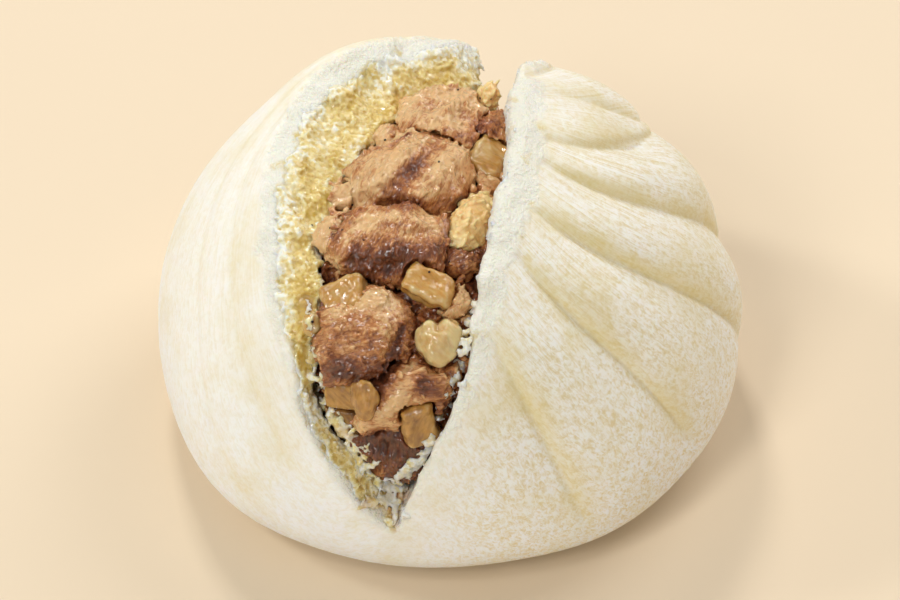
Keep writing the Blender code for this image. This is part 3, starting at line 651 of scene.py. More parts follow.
def pixels_of(places):
    """Pixels of the picture at which places are seen."""
    eye, view, right, up = camera_frame()
    away = places - eye
    scale = PIXELS_PER_MM * CAMERA_DISTANCE / MM / (away @ view)
    return np.stack([IMAGE_MIDDLE[0] + (away @ right) * scale,
                     IMAGE_MIDDLE[1] - (away @ up) * scale], axis=1)


def strokes_at(places, strokes):
    """Sum at each place of soft strokes drawn in the picture."""
    seen = pixels_of(places)
    total = np.zeros(len(places))
    for x0, y0, x1, y1, width, strength in strokes:
        start, run = np.array((x0, y0), float), np.array((x1 - x0, y1 - y0), float)
        share = np.clip((seen - start) @ run / max(run @ run, 1.0), 0, 1)
        gap = np.linalg.norm(seen - start - share[:, None] * run, axis=1) / width
        total += strength * np.exp(-gap * gap)
    return total


# Materials

def add_node(tree, kind, settings=None, links=None, output=0):
    """Adds a shader node with its settings and links, and returns one of its outputs.

    A setting is a property of the node, the value of an input or a colour ramp's stops.
    """
    node = tree.nodes.new(kind)
    for name, value in (settings or {}).items():
        if name == "stops":
            ramp = node.color_ramp.elements
            while len(ramp) < len(value):
                ramp.new(0.5)
            for element, (place, colour) in zip(ramp, value):
                element.position, element.color = place, colour
        elif isinstance(name, int) or name in node.inputs:
            node.inputs[name].default_value = value
        else:
            setattr(node, name, value)
    for name, source in (links or {}).items():
        tree.links.new(source, node.inputs[name])
    return node.outputs[output]


def new_material(name, values):
    """Procedural material with its surface's values set, its tree and the surface's inputs."""
    material = bpy.data.materials.new(name)
    material.use_nodes = True
    surface = material.node_tree.nodes["Principled BSDF"].inputs
    for socket, value in values.items():
        surface[socket].default_value = value
    return material, material.node_tree, surface


def weighted_sum(tree, start, *terms):
    """A start value plus each pattern times its share, kept between 0 and 1."""
    total = None
    for pattern, share in terms:
        links = {0: pattern} if total is None else {0: pattern, 2: total}
        total = add_node(tree, "ShaderNodeMath",
                         {"operation": "MULTIPLY_ADD", 1: share, 2: start}, links)
    total.node.use_clamp = True
    return total


def leaning_facets(tree, place, scale, lean, under=None):
    """Normal that leans a random way in each small cell, as crystals and wet shreds do."""
    colours = add_node(tree, "ShaderNodeTexVoronoi", {"Scale": scale}, {"Vector": place}, "Color")
    way = add_node(tree, "ShaderNodeVectorMath", {"operation": "SUBTRACT", 1: (0.5, 0.5, 0.5)},
                   {0: colours})
    if under is None:
        under = add_node(tree, "ShaderNodeNewGeometry", output="Normal")
    leaned = add_node(tree, "ShaderNodeVectorMath",
                      {"operation": "MULTIPLY_ADD", 1: (lean, lean, lean)}, {0: way, 2: under})
    return add_node(tree, "ShaderNodeVectorMath", {"operation": "NORMALIZE"}, {0: leaned})


def steamed_dough(settings):
    """Steamed wheat dough: matte, softly translucent skin, and open white crumb where torn.

    Steaming leaves the skin cream white and silky, with fine streaks along the pleats. Painted
    shade makes the folds yellower and darker and strengthens the mottle on the shaded right, and
    a cooler colour near the base is painted light against the floor's warm bounce. Torn crumb is
    whiter, moist and a little glossy, yellow in its pockets and amber where the filling's juice
    has soaked it.
    """
    material, tree, surface = new_material("steamed_wheat_dough", {
        "Subsurface Weight": 0.35, "Subsurface Radius": (1.0, 0.75, 0.45),
        "Subsurface Scale": 1.6 * MM, "IOR": 1.42})
    place = add_node(tree, "ShaderNodeTexCoord", output="Object")
    grain = add_node(tree, "ShaderNodeAttribute", {"attribute_name": "grain"}, output="Vector")
    torn, fold, pocket, juice, fleck, low = (
        add_node(tree, "ShaderNodeAttribute", {"attribute_name": name}, output="Fac")
        for name in ("torn", "fold", "pocket", "juice", "fleck", "low"))
    # curls about 0.5 mm wide, twice as long in the pleats' direction
    streaks = add_node(tree, "ShaderNodeTexNoise",
                       {"Scale": 2.0, "Detail": 3.0, "Roughness": 0.6, "Distortion": 1.4},
                       {"Vector": grain})
    # mottle about 0.9 mm across, and yellower clouds about 11 mm across
    mottle = add_node(tree, "ShaderNodeTexNoise",
                      {"Scale": 1.1 * PER_MM, "Detail": 3.0, "Roughness": 0.7,
                       "Distortion": 0.5}, {"Vector": place})
    cloud = add_node(tree, "ShaderNodeTexNoise",
                     {"Scale": 0.09 * PER_MM, "Detail": 3.0, "Roughness": 0.55},
                     {"Vector": place})
    fine = weighted_sum(tree, 0.0, (streaks, 0.55), (mottle, 0.45))
    # darker mottle by the fleck value: the skin's own mottle, stronger on the right as painted shade
    flecked = add_node(tree, "ShaderNodeMapRange",
                       {"From Min": 0.38, "From Max": 0.56, "To Max": 0.0},
                       {"Value": fine, "To Min": fleck})
    # the fine pattern's pale spots stay paler in the folds' painted shade and in the yellower clouds
    yellow = weighted_sum(tree, -0.768, (fold, 0.75), (cloud, 1.6))
    pale_spots = add_node(tree, "ShaderNodeMath",
                          {"operation": "MULTIPLY_ADD", 1: -0.9, 2: 1.35}, {0: fine})
    yellow = add_node(tree, "ShaderNodeMath", {"operation": "MULTIPLY", "use_clamp": True},
                      {0: yellow, 1: pale_spots})
    # painted light: towards the base the skin turns to a cooler, whiter colour that offsets the floor's
    # warm bounce
    skin = add_node(tree, "ShaderNodeMix",
                    {"data_type": "RGBA", 6: settings.skin, 7: settings.skin_low_painted_light}, {0: low}, 2)
    for share, tint in ((flecked, settings.skin_shade), (yellow, settings.fold)):
        skin = add_node(tree, "ShaderNodeMix", {"data_type": "RGBA", 7: tint},
                        {0: share, 6: skin}, 2)
    # spots about 2.4 mm across in the torn crumb
    crumb_spots = add_node(tree, "ShaderNodeTexNoise",
                           {"Scale": 0.42 * PER_MM, "Detail": 4.0, "Roughness": 0.7,
                            "Distortion": 0.8}, {"Vector": place})
    spots = add_node(tree, "ShaderNodeMapRange", {"From Min": 0.42, "From Max": 0.58},
                     {"Value": crumb_spots})
    crumb = add_node(tree, "ShaderNodeValToRGB", {"stops": (
        (0.0, settings.crumb), (0.35, settings.crumb), (0.62, settings.crumb_yellow),
        (1.0, settings.crumb_deep))},
        {"Fac": weighted_sum(tree, 0.0, (pocket, 1.0), (spots, 0.2))})
    crumb = add_node(tree, "ShaderNodeMix", {"data_type": "RGBA", 7: settings.juice},
                     {0: juice, 6: crumb}, 2)
    colour = add_node(tree, "ShaderNodeMix", {"data_type": "RGBA"},
                      {0: torn, 6: skin, 7: crumb}, 2)
    tree.links.new(colour, surface["Base Color"])
    gloss = add_node(tree, "ShaderNodeMapRange",
                     {"To Min": settings.skin_roughness, "To Max": settings.crumb_roughness},
                     {"Value": torn})
    tree.links.new(gloss, surface["Roughness"])
    # grit about 0.7 mm across where the dough is torn
    crumb_grit = add_node(tree, "ShaderNodeTexNoise",
                          {"Scale": 1.5 * PER_MM, "Detail": 3.0, "Roughness": 0.7},
                          {"Vector": place})
    grit = add_node(tree, "ShaderNodeMath", {"operation": "MULTIPLY"}, {0: crumb_grit, 1: torn})
    bump = None
    for height, strength, distance in ((fine, 0.22, 0.4), (grit, 0.9, 0.8)):
        links = {"Height": height, "Normal": bump} if bump else {"Height": height}
        bump = add_node(tree, "ShaderNodeBump",
                        {"Strength": strength, "Distance": distance * MM}, links)
    tree.links.new(bump, surface["Normal"])
    return material


def torn_crumb(settings):
    """Torn crumb: moist white gluten flakes, yellow in the hollows, brown where juice soaked in."""
    material, tree, surface = new_material("torn_steamed_crumb", {
        "Roughness": 0.35, "Subsurface Weight": 0.75, "Subsurface Radius": (1.0, 0.85, 0.55),
        "Subsurface Scale": 1.6 * MM, "Coat Weight": 0.7, "Coat Roughness": 0.08, "IOR": 1.45})
    place = add_node(tree, "ShaderNodeTexCoord", output="Object")
    pocket, juice, white = (
        add_node(tree, "ShaderNodeAttribute", {"attribute_name": name}, output="Fac")
        for name in ("pocket", "juice", "white"))
    # specks about 1.1 mm across
    specks = add_node(tree, "ShaderNodeTexNoise",
                      {"Scale": 0.9 * PER_MM, "Detail": 3.0, "Roughness": 0.6,
                       "Distortion": 0.5}, {"Vector": place})
    # moist crumbs about 0.5 mm across, each a little whiter or yellower than the next
    crumbs = add_node(tree, "ShaderNodeTexVoronoi", {"Scale": 1.9 * PER_MM}, {"Vector": place},
                      "Color")
    tint = add_node(tree, "ShaderNodeSeparateColor", links={"Color": crumbs})
    tone = weighted_sum(tree, 0.225, (pocket, 1.0), (specks, -0.4), (tint, 0.5), (white, -0.55))
    colour = add_node(tree, "ShaderNodeValToRGB", {"stops": (
        (0.0, settings.crumb), (0.25, settings.crumb_cream), (0.55, settings.crumb_yellow),
        (1.0, settings.crumb_deep))}, {"Fac": tone})
    colour = add_node(tree, "ShaderNodeMix", {"data_type": "RGBA", 7: settings.juice},
                      {0: juice, 6: colour}, 2)
    tree.links.new(colour, surface["Base Color"])
    bump = add_node(tree, "ShaderNodeBump", {"Strength": 0.5, "Distance": 0.3 * MM},
                    {"Height": specks})
    # facets about 0.4 mm across in the crumb and 0.5 mm across in its wet film
    tree.links.new(leaning_facets(tree, place, 2.3 * PER_MM, 0.55, bump), surface["Normal"])
    tree.links.new(leaning_facets(tree, place, 1.9 * PER_MM, 0.9), surface["Coat Normal"])
    return material


def braised_pork(settings):
    """Braised minced pork: wet, glossy and fibrous, brown where cooked dark; painted light on its
    ridges, painted shade in its hollows and gaps.
    """
    material, tree, surface = new_material("braised_minced_pork", {
        "Roughness": 0.45, "Specular IOR Level": 0.3, "IOR": 1.42,
        "Subsurface Weight": 0.3, "Subsurface Radius": (1.0, 0.45, 0.3),
        "Subsurface Scale": 1.0 * MM, "Coat Weight": 1.0, "Coat Roughness": 0.07})
    place = add_node(tree, "ShaderNodeTexCoord", output="Object")
    strand = add_node(tree, "ShaderNodeAttribute", {"attribute_name": "strand"}, output="Vector")
    dark, ridge, amber = (
        add_node(tree, "ShaderNodeAttribute", {"attribute_name": name}, output="Fac")
        for name in ("dark", "ridge", "amber"))
    # patches about 4 mm across
    patches = add_node(tree, "ShaderNodeTexNoise",
                       {"Scale": 0.26 * PER_MM, "Detail": 4.0, "Roughness": 0.6,
                        "Distortion": 0.5}, {"Vector": place})
    # shreds about 0.5 mm wide and 1.7 mm long, with finer fibres in them
    fibres = add_node(tree, "ShaderNodeTexNoise",
                      {"Scale": 2.0, "Detail": 4.0, "Roughness": 0.7, "Distortion": 0.6},
                      {"Vector": strand})
    # tone: the dark value, which holds painted shade, made paler on raised ridges as painted light
    tone = weighted_sum(tree, 0.2, (dark, 1.0), (patches, 0.9), (fibres, -1.3), (ridge, -0.5))
    colour = add_node(tree, "ShaderNodeValToRGB", {"stops": (
        (0.0, settings.meat_pale), (0.25, settings.meat), (0.55, settings.meat_brown),
        (1.0, settings.meat_dark))}, {"Fac": tone})
    colour = add_node(tree, "ShaderNodeMix",
                      {"data_type": "RGBA", "blend_type": "MULTIPLY", 7: settings.meat_amber},
                      {0: amber, 6: colour}, 2)
    tree.links.new(colour, surface["Base Color"])
    flesh = add_node(tree, "ShaderNodeBump", {"Strength": 0.9, "Distance": 0.5 * MM},
                     {"Height": fibres})
    tree.links.new(leaning_facets(tree, strand, 2.6, 0.35, flesh), surface["Normal"])
    # the wet film smooths over the finest fibres and glints where a facet 0.5 mm wide leans so
    film = add_node(tree, "ShaderNodeTexNoise",
                    {"Scale": 1.5, "Detail": 2.5, "Roughness": 0.6, "Distortion": 0.4},
                    {"Vector": strand})
    wet = add_node(tree, "ShaderNodeBump", {"Strength": 0.6, "Distance": 0.3 * MM},
                   {"Height": film})
    tree.links.new(leaning_facets(tree, strand, 1.9, 0.6, wet), surface["Coat Normal"])
    return material


def rendered_fat(settings):
    """Cooked pork fat and skin: amber, glossy and translucent at its thin edges."""
    material, tree, surface = new_material("cooked_pork_fat", {
        "Roughness": 0.3, "Subsurface Weight": 0.5, "Subsurface Radius": (1.0, 0.65, 0.3),
        "Subsurface Scale": 1.4 * MM, "Coat Weight": 0.6, "Coat Roughness": 0.1})
    place = add_node(tree, "ShaderNodeTexCoord", output="Object")
    ridge = add_node(tree, "ShaderNodeAttribute", {"attribute_name": "ridge"}, output="Fac")
    # patches about 2.6 mm across and grain about 0.8 mm across
    patches = add_node(tree, "ShaderNodeTexNoise",
                       {"Scale": 0.38 * PER_MM, "Detail": 4.0, "Roughness": 0.65,
                        "Distortion": 0.5}, {"Vector": place})
    grain = add_node(tree, "ShaderNodeTexNoise",
                     {"Scale": 1.2 * PER_MM, "Detail": 3.0, "Roughness": 0.6},
                     {"Vector": place})
    # raised crags lean to the pale fat: painted light
    colour = add_node(tree, "ShaderNodeValToRGB", {"stops": (
        (0.3, settings.fat_amber), (0.5, settings.fat), (0.78, settings.fat_pale))},
        {"Fac": weighted_sum(tree, 0.0, (patches, 1.0), (ridge, 0.35))})
    tree.links.new(colour, surface["Base Color"])
    bump = add_node(tree, "ShaderNodeBump", {"Strength": 0.6, "Distance": 0.5 * MM},
                    {"Height": grain})
    tree.links.new(bump, surface["Normal"])
    tree.links.new(leaning_facets(tree, place, 2.0 * PER_MM, 0.8), surface["Coat Normal"])
    return material


def cooked_onion(settings):
    """Cooked onion: glassy tan flesh, seen a little way into, with a wet film and faint layers."""
    material, tree, surface = new_material("cooked_onion", {
        "Roughness": 0.25, "IOR": 1.36, "Transmission Weight": 0.3,
        "Subsurface Weight": 0.5, "Subsurface Radius": (1.0, 0.75, 0.4),
        "Subsurface Scale": 1.6 * MM, "Coat Weight": 1.0, "Coat Roughness": 0.06})
    place = add_node(tree, "ShaderNodeTexCoord", output="Object")
    strand = add_node(tree, "ShaderNodeAttribute", {"attribute_name": "strand"}, output="Vector")
    pale, edge = (
        add_node(tree, "ShaderNodeAttribute", {"attribute_name": name}, output="Fac")
        for name in ("pale", "ridge"))
    # patches about 4 mm across and grain about 1.7 mm across
    patches = add_node(tree, "ShaderNodeTexNoise",
                       {"Scale": 0.24 * PER_MM, "Detail": 3.0, "Roughness": 0.5,
                        "Distortion": 0.6}, {"Vector": place})
    grain = add_node(tree, "ShaderNodeTexNoise",
                     {"Scale": 0.6 * PER_MM, "Detail": 3.0, "Roughness": 0.5},
                     {"Vector": place})
    # layer lines about 0.8 mm apart
    veins = add_node(tree, "ShaderNodeTexNoise",
                     {"Scale": 1.3, "Detail": 3.0, "Roughness": 0.6, "Distortion": 0.3},
                     {"Vector": strand})
    tone = weighted_sum(tree, -0.8, (pale, 1.0), (patches, 0.8), (veins, 0.8), (edge, 0.5))
    colour = add_node(tree, "ShaderNodeValToRGB", {"stops": (
        (0.0, settings.onion_shade), (0.45, settings.onion), (1.0, settings.onion_pale))},
        {"Fac": tone})
    tree.links.new(colour, surface["Base Color"])
    bump = add_node(tree, "ShaderNodeBump", {"Strength": 0.35, "Distance": 0.5 * MM},
                    {"Height": grain})
    tree.links.new(bump, surface["Normal"])
    tree.links.new(leaning_facets(tree, place, 1.5 * PER_MM, 0.4, bump), surface["Coat Normal"])
    return material


def ground_pepper(settings):
    """Ground black pepper: dry, rough, nearly black."""
    return new_material("ground_black_pepper", {
        "Base Color": settings.pepper, "Roughness": 0.7})[0]


def matte_paper(settings):
    """Pale matte paper backdrop."""
    return new_material("pale_matte_paper", {
        "Base Color": settings.floor, "Roughness": 0.95, "Specular IOR Level": 0.1})[0]


def colour_setting(name, code, description):
    """Colour property with a default from an sRGB hex code."""
    return bpy.props.FloatVectorProperty(name=name, description=description, size=4, min=0.0,
                                         max=1.0, subtype="COLOR", default=linear_colour(code))


def size_setting(name, value, description):
    """Size property, in millimetres."""
    return bpy.props.FloatProperty(name=name, description=description + ", in millimetres",
                                   default=value, min=0.0, soft_max=20.0, precision=2)


def share_setting(name, value, description):
    """Property from 0 to 1."""
    return bpy.props.FloatProperty(name=name, description=description, default=value, min=0.0,
                                   max=1.0, subtype="FACTOR")


def count_setting(name, value, description):
    """Property for a number of small pieces."""
    return bpy.props.IntProperty(name=name, description=description, default=value, min=1,
                                 soft_max=5000)


def power_setting(name, value, description):
    """Property for the power of a lamp, in watts."""
    return bpy.props.FloatProperty(name=name, description=description, default=value, min=0.0,
                                   unit="POWER")


class DoughSettings(bpy.types.PropertyGroup):
    """Sizes and colours of the steamed dough."""

    voxel: size_setting("Mesh size", 0.88, "Size of the dough's mesh faces")
    groove: size_setting("Fold groove", 0.3, "Depth of the fine groove at each pleat's fold")
    flake: size_setting("Crumb flake", 1.2, "Usual length of a torn crumb flake")
    grain: size_setting("Crumb grain", 0.7, "Usual length of a small torn grain")
    fine_grain: size_setting("Lip grain", 0.5, "Usual length of a grain on the right lip")
    sheet: size_setting("Crumb sheet", 0.9, "Thickness of the crumb under its flakes")
    crumb_voxel: size_setting("Crumb mesh size", 0.25, "Size of the crumb's mesh faces")
    rim: share_setting("Crumb reach", 0.97, "Share of each torn wall that open crumb covers")
    skin: colour_setting("Skin", "#F9F4EA", "Steamed skin in the light")
    # Low skin: painted light, a cooler colour near the base against the floor's warm bounce
    skin_low_painted_light: colour_setting("Low skin", "#F8F8F8", "Cooler, drier skin near the base")
    skin_shade: colour_setting("Skin mottle", "#E4D3A8", "Fine darker mottle of the skin")
    # Fold: painted shade, a yellower, darker dough colour laid in the pleats' folds
    fold: colour_setting("Fold", "#E4D194", "Yellower dough in the pleats' folds")
    crumb: colour_setting("Crumb", "#FAF4E4", "Torn white crumb")
    crumb_cream: colour_setting("Crumb cream", "#F0E2BC", "Cream crumb under the flakes")
    crumb_yellow: colour_setting("Crumb yellow", "#E6CE88", "Yellower crumb a little deeper")
    crumb_deep: colour_setting("Crumb pockets", "#CDAA4C", "Deep pockets of the crumb")
    juice: colour_setting("Juice", "#C98F4A", "Crumb soaked with the filling's juice")
    skin_roughness: share_setting("Skin roughness", 0.62, "Roughness of the steamed skin")
    crumb_roughness: share_setting("Crumb roughness", 0.45, "Roughness of the dough where torn")


class FillingSettings(bpy.types.PropertyGroup):
    """Sizes and colours of the pork and onion filling."""

    voxel: size_setting("Mesh size", 0.2, "Size of the filling pieces' mesh faces")
    core_voxel: size_setting("Core mesh size", 0.45, "Size of the core's mesh faces")
    onion_voxel: size_setting("Onion mesh size", 0.3, "Size of the onion's mesh faces")
    crag: size_setting("Crags", 0.38, "Height of the meat's torn crags")
    shred: size_setting("Shreds", 1.0, "Usual length of the shreds of mince on the meat")
    crumb: size_setting("Mince crumb", 1.5, "Usual length of a loose crumb of mince")
    mince: count_setting("Loose mince", 1500, "Loose crumbs of mince between the pieces")
    # Pale meat: the fatty fibres' own colour, and painted light on raised ridges
    meat_pale: colour_setting("Pale meat", "#EABE86", "Ridges and fatty fibres of the meat")
    meat: colour_setting("Meat", "#C4824A", "Usual colour of the braised meat")
    meat_brown: colour_setting("Brown meat", "#844724", "Browner meat in its hollows")
    meat_dark: colour_setting("Dark meat", "#3F190A", "Darkest, most cooked meat")
    meat_amber: colour_setting("Amber meat", "#E8AC60", "Tint of meat soaked with juice")
    fat_pale: colour_setting("Pale fat", "#F0D292", "Fat in the light")
    fat: colour_setting("Fat", "#DFA856", "Usual colour of the cooked fat")
    fat_amber: colour_setting("Amber fat", "#B36C1C", "Fat soaked with juice")
    onion_pale: colour_setting("Pale onion", "#F8DEA0", "Thin edges of the onion")
    onion: colour_setting("Onion", "#DDA552", "Usual colour of the cooked onion")
    onion_shade: colour_setting("Onion shade", "#8C5E34", "Onion soaked with juice")
    pepper: colour_setting("Pepper", "#2B1B16", "Ground pepper")


class StageSettings(bpy.types.PropertyGroup):
    """Floor and light of the pictures."""

    floor: colour_setting("Floor", "#E8D4B8", "Pale paper the bun stands on")
    air: colour_setting("Air", "#FFFDF8", "Even light from all round")
    air_strength: share_setting("Air strength", 0.22, "Strength of the even light")
    key_power: power_setting("Key light", 9.2, "Soft light from the front, high on the left")
    left_power: power_setting("Left light", 6.5, "Soft light from the left")
    back_power: power_setting("Back light", 11.4, "Soft light from behind on the right")
    fill_power: power_setting("Fill light", 3.1, "Weak light from the front right")
    low_power: power_setting("Low light", 4.2, "Cool light low at the front")
    glint_power: power_setting("Glint lamp", 7.6, "Smaller lamp behind, which the wet meat reflects")
    front_power: power_setting("Front lamp", 3.6, "Smaller lamp above the camera, for glints too")


def fine_bun(name):
    """Whole bun before it is torn: a sphere whose points are moved to the pleated skin."""
    bpy.ops.mesh.primitive_uv_sphere_add(segments=SKIN_SEGMENTS, ring_count=SKIN_RINGS, radius=1.0)
    bun = bpy.context.object
    bun.name = bun.data.name = name
    directions = mesh_points(bun.data) * MM
    directions /= np.linalg.norm(directions, axis=1)[:, None]
    set_points(bun.data, skin_points(directions))
    return bun


def profile_at(line, part):
    """Point at a share of the way along a line of points, rounded at its bends."""
    place = part * (len(line) - 1)
    low = min(int(place), len(line) - 2)
    share = place - low
    before = line[max(low - 1, 0)]
    after = line[min(low + 2, len(line) - 1)]
    first, second = line[low], line[low + 1]
    slope_in, slope_out = BEND_ROUNDING * (second - before), BEND_ROUNDING * (after - first)
    return ((2 * share ** 3 - 3 * share ** 2 + 1) * first
            + (share ** 3 - 2 * share ** 2 + share) * slope_in
            + (3 * share ** 2 - 2 * share ** 3) * second
            + (share ** 3 - share ** 2) * slope_out)


def fine_tear():
    """Solid that the tear takes away: a block bent round the bun between its torn walls."""
    bpy.ops.mesh.primitive_cube_add(size=2.0)
    tear = bpy.context.object
    tear.name = "tear_cutter"
    body = bmesh.new()
    body.from_mesh(tear.data)
    for axis, count in enumerate(TEAR_STEPS):
        edges = [e for e in body.edges if abs((e.verts[0].co - e.verts[1].co)[axis]) > 1.9]
        bmesh.ops.subdivide_edges(body, edges=edges, cuts=count - 1, use_grid_fill=True)
    angles = np.linspace(TEAR_START_DEG, TEAR_END_DEG, TEAR_STEPS[0] + 1)
    walls = [tear_walls(angle) for angle in angles]
    spans = len(walls[0][0]) - 1
    for vert in body.verts:
        along = round((vert.co.x + 1) / 2 * TEAR_STEPS[0])
        deep = (vert.co.y + 1) / 2
        part = (vert.co.z + 1) / 2
        angle = angles[along]
        left, right = profile_at(walls[along][0], deep), profile_at(walls[along][1], deep)
        across = left[0] + part * (right[0] - left[0])
        reach = left[1] + part * (right[1] - left[1])
        place = tear_point(across, reach, angle)
        if part < 0.01 or part > 0.99:
            side = 1.0 if part > 0.99 else -1.0
            outward = (place - tear_point(across, 0.0, angle)) / reach
            full = min(1.0, abs(right[0] - left[0]) / CRUMB_FULL_WIDTH)
            level = deep * spans
            full *= float(smooth_step(0.0, 1.0, level) * smooth_step(6.0, 5.0, level))
            spot = Vector(place)
            shift = noise.noise(spot / CRUMB_SIZE)
            shift += CRUMB_FINE_SHARE * noise.noise(spot / CRUMB_FINE_SIZE + Vector((9.0, 3.0, 5.0)))
            way = CRUMB_LEAN * side * ACROSS - CRUMB_OUTWARD * outward
            place = place + way * CRUMB_RELIEF * shift * full
        vert.co = place * MM
    if body.calc_volume(signed=True) < 0:
        bmesh.ops.reverse_faces(body, faces=body.faces)
    for face in body.faces:
        face.material_index = 1
    body.to_mesh(tear.data)
    body.free()
    return tear


def fine_hollow():
    """Hollow that the filling lies in: a ball moved out to the filling's surface."""
    bpy.ops.mesh.primitive_ico_sphere_add(subdivisions=5, radius=1.0)
    hollow = bpy.context.object
    hollow.name = "hollow_cutter"
    middle = FILLING_MIDDLE_ALONG * ALONG + FILLING_MIDDLE_ACROSS * ACROSS
    middle = middle + FILLING_MIDDLE_HEIGHT * UPWARDS
    places = []
    for direction in mesh_points(hollow.data) * MM:
        direction = direction / np.linalg.norm(direction)
        low, high = 0.0, 60.0
        for _ in range(18):
            reach = (low + high) / 2
            low, high = (reach, high) if filling_level(middle + reach * direction) < 1 else (low, reach)
        low += HOLLOW_UNEVENNESS * noise.noise(Vector(direction) * 3.0)
        places.append(middle + low * direction)
    set_points(hollow.data, np.array(places))
    hollow.data.polygons.foreach_set("material_index", np.full(len(hollow.data.polygons), 2))
    return hollow


def make_dough(settings):
    """Torn dough: the bun less its tear and hollow, with its crumb and pleats worked in."""
    bpy.ops.object.select_all(action="DESELECT")
    bun = fine_bun("bun_dough_fine")
    tear = fine_tear()
    hollow = fine_hollow()
    for thing in (bun, tear, hollow):
        while len(thing.data.materials) < 3:
            thing.data.materials.append(None)
    for tool in (tear, hollow):
        apply_modifier(bun, "BOOLEAN", operation="DIFFERENCE", object=tool, solver="MANIFOLD")
        bpy.data.objects.remove(tool)
    # a face's material slot tells what it comes from: 0 the skin, 1 the tear, 2 the hollow
    origin = np.empty(len(bun.data.polygons), int)
    bun.data.polygons.foreach_get("material_index", origin)
    body = bmesh.new()
    body.from_mesh(bun.data)
    cut_tree = bvhtree.BVHTree.FromBMesh(body)
    body.free()
    apply_modifier(bun, "REMESH", mode="VOXEL", voxel_size=settings.voxel * MM)
    mesh = bun.data
    places = mesh_points(mesh)
    kinds = np.array([origin[cut_tree.find_nearest(Vector(p) * MM)[2]] for p in places])
    torn = spread_out(mesh, (kinds == 1).astype(float), 1)
    bare = spread_out(mesh, (kinds == 2).astype(float), 1)
    places = even_out(mesh, 2)
    set_attribute(mesh, "torn", torn)
    set_attribute(mesh, "bare", bare)
    _, part, width, _, _ = pleat_place(places)
    to_fold = np.minimum(part, 1.0 - part) * width
    near_fold = (to_fold < FINE_NEAR_FOLD) & (pleat_share(places) > 0.3)
    near_fold &= (torn < 0.05) & (bare < 0.05)
    wanted = face_values(mesh, ((torn > 0.02) | near_fold).astype(float)) > 0.5
    divide_faces(bun, wanted)
    return bun


def work_skin(bun, settings):
    """Lays the skin on its exact pleats, cuts the fold grooves and writes the skin's values, the folds'
    painted shade among them.
    """
    mesh = bun.data
    places = mesh_points(mesh)
    torn = np.clip(get_attribute(mesh, "torn"), 0, 1)
    bare = np.clip(get_attribute(mesh, "bare"), 0, 1)
    directions = places - BELLY_MIDDLE
    directions /= np.linalg.norm(directions, axis=1)[:, None]
    exact = skin_points(directions)
    _, part, width, reach, turned = pleat_place(exact)
    share = pleat_share(exact)
    height = exact[:, 2]
    gap = np.minimum(part, 1.0 - part) * width
    groove = np.exp(-(gap / GROOVE_WIDTH) ** 2) * share * smooth_step(4.0, 12.0, reach)
    groove = groove * smooth_step(0.0, 6.0, width)
    exact = exact - directions * (settings.groove * groove)[:, None]
    silk = SILK_HEIGHT * rough(exact / np.array((1.0, 1.0, 1.6)), SILK_SIZE, 3.0)
    exact = exact + directions * silk[:, None] * (height > 0.6)[:, None]
    on_skin = np.linalg.norm(exact - places, axis=1) < ON_SKIN_WITHIN
    on_skin &= torn + bare < 0.5
    hold = np.clip(1.0 - 2.0 * (torn + bare), 0, 1) * on_skin
    places = places + (exact - places) * hold[:, None]
    places[places[:, 2] < 0.02, 2] = 0.0
    set_points(mesh, places)
    # painted shade in the folds: the fold colour goes on the steep side just past each fold, in its
    # groove and along the listed strokes
    shaded = np.exp(-(part * width / FOLD_SHADE_WIDTH) ** 2) * share * 0.8
    fold = np.maximum(shaded, 0.8 * groove) + strokes_at(exact, FOLD_SHADE_STROKES)
    set_attribute(mesh, "fold", np.clip(fold, 0, 1))
    # fleck: the mottle's strength, rising towards the right, the shaded side, as painted shade
    set_attribute(mesh, "fleck", 0.35 + 0.65 * smooth_step(4.0, 22.0, exact @ ACROSS))
    # low: 1 near the base, where the skin takes its cooler colour as painted light
    set_attribute(mesh, "low", smooth_step(42.0, 6.0, height))
    ring = np.radians(turned)
    grain = np.stack([np.cos(ring) * 30.0, np.sin(ring) * 30.0, height * 0.5 + reach * 0.3], axis=1)
    set_attribute(mesh, "grain", grain)


def tear_place(places):
    """Each place's share of the way from the filling to the skin, and whether it is right."""
    angle = np.degrees(np.arctan2(places[:, 2] - TEAR_AXIS_HEIGHT, places @ ALONG))
    across = places @ ACROSS
    deep, edge = curve_at(LEFT_INNER_EDGE, angle), curve_at(LEFT_SKIN_EDGE, angle)
    lip, width = curve_at(RIGHT_LIP, angle), curve_at(RIGHT_LIP_WIDTH, angle)
    right = across > (deep + lip) / 2
    left_part = (deep - across) / np.maximum(deep - edge, 1.0)
    return np.clip(np.where(right, (across - lip) / width, left_part), 0, 1), right


def crumb_tone(places):
    """How yellow and how soaked with juice the torn crumb is at each place."""
    part, right = tear_place(places)
    broad = rough(places, 7.0, 21.0)
    middle = rough(places, 2.4, 23.0)
    zone = smooth_step(1.02, 0.3, part)
    yellow = zone * (0.5 + 0.35 * broad + 0.2 * middle + 0.2 * (1 - part))
    front = strokes_at(places, YELLOW_STROKES)
    yellow = np.where(right, 0.06 + 0.2 * broad, yellow + front)
    juice = strokes_at(places, JUICE_STROKES)
    juice += np.where(right, 0.4, 0.8) * smooth_step(0.14, 0.0, part) * (0.25 + 0.6 * middle)
    return np.clip(yellow, 0, 1), np.clip(juice, 0, 1)


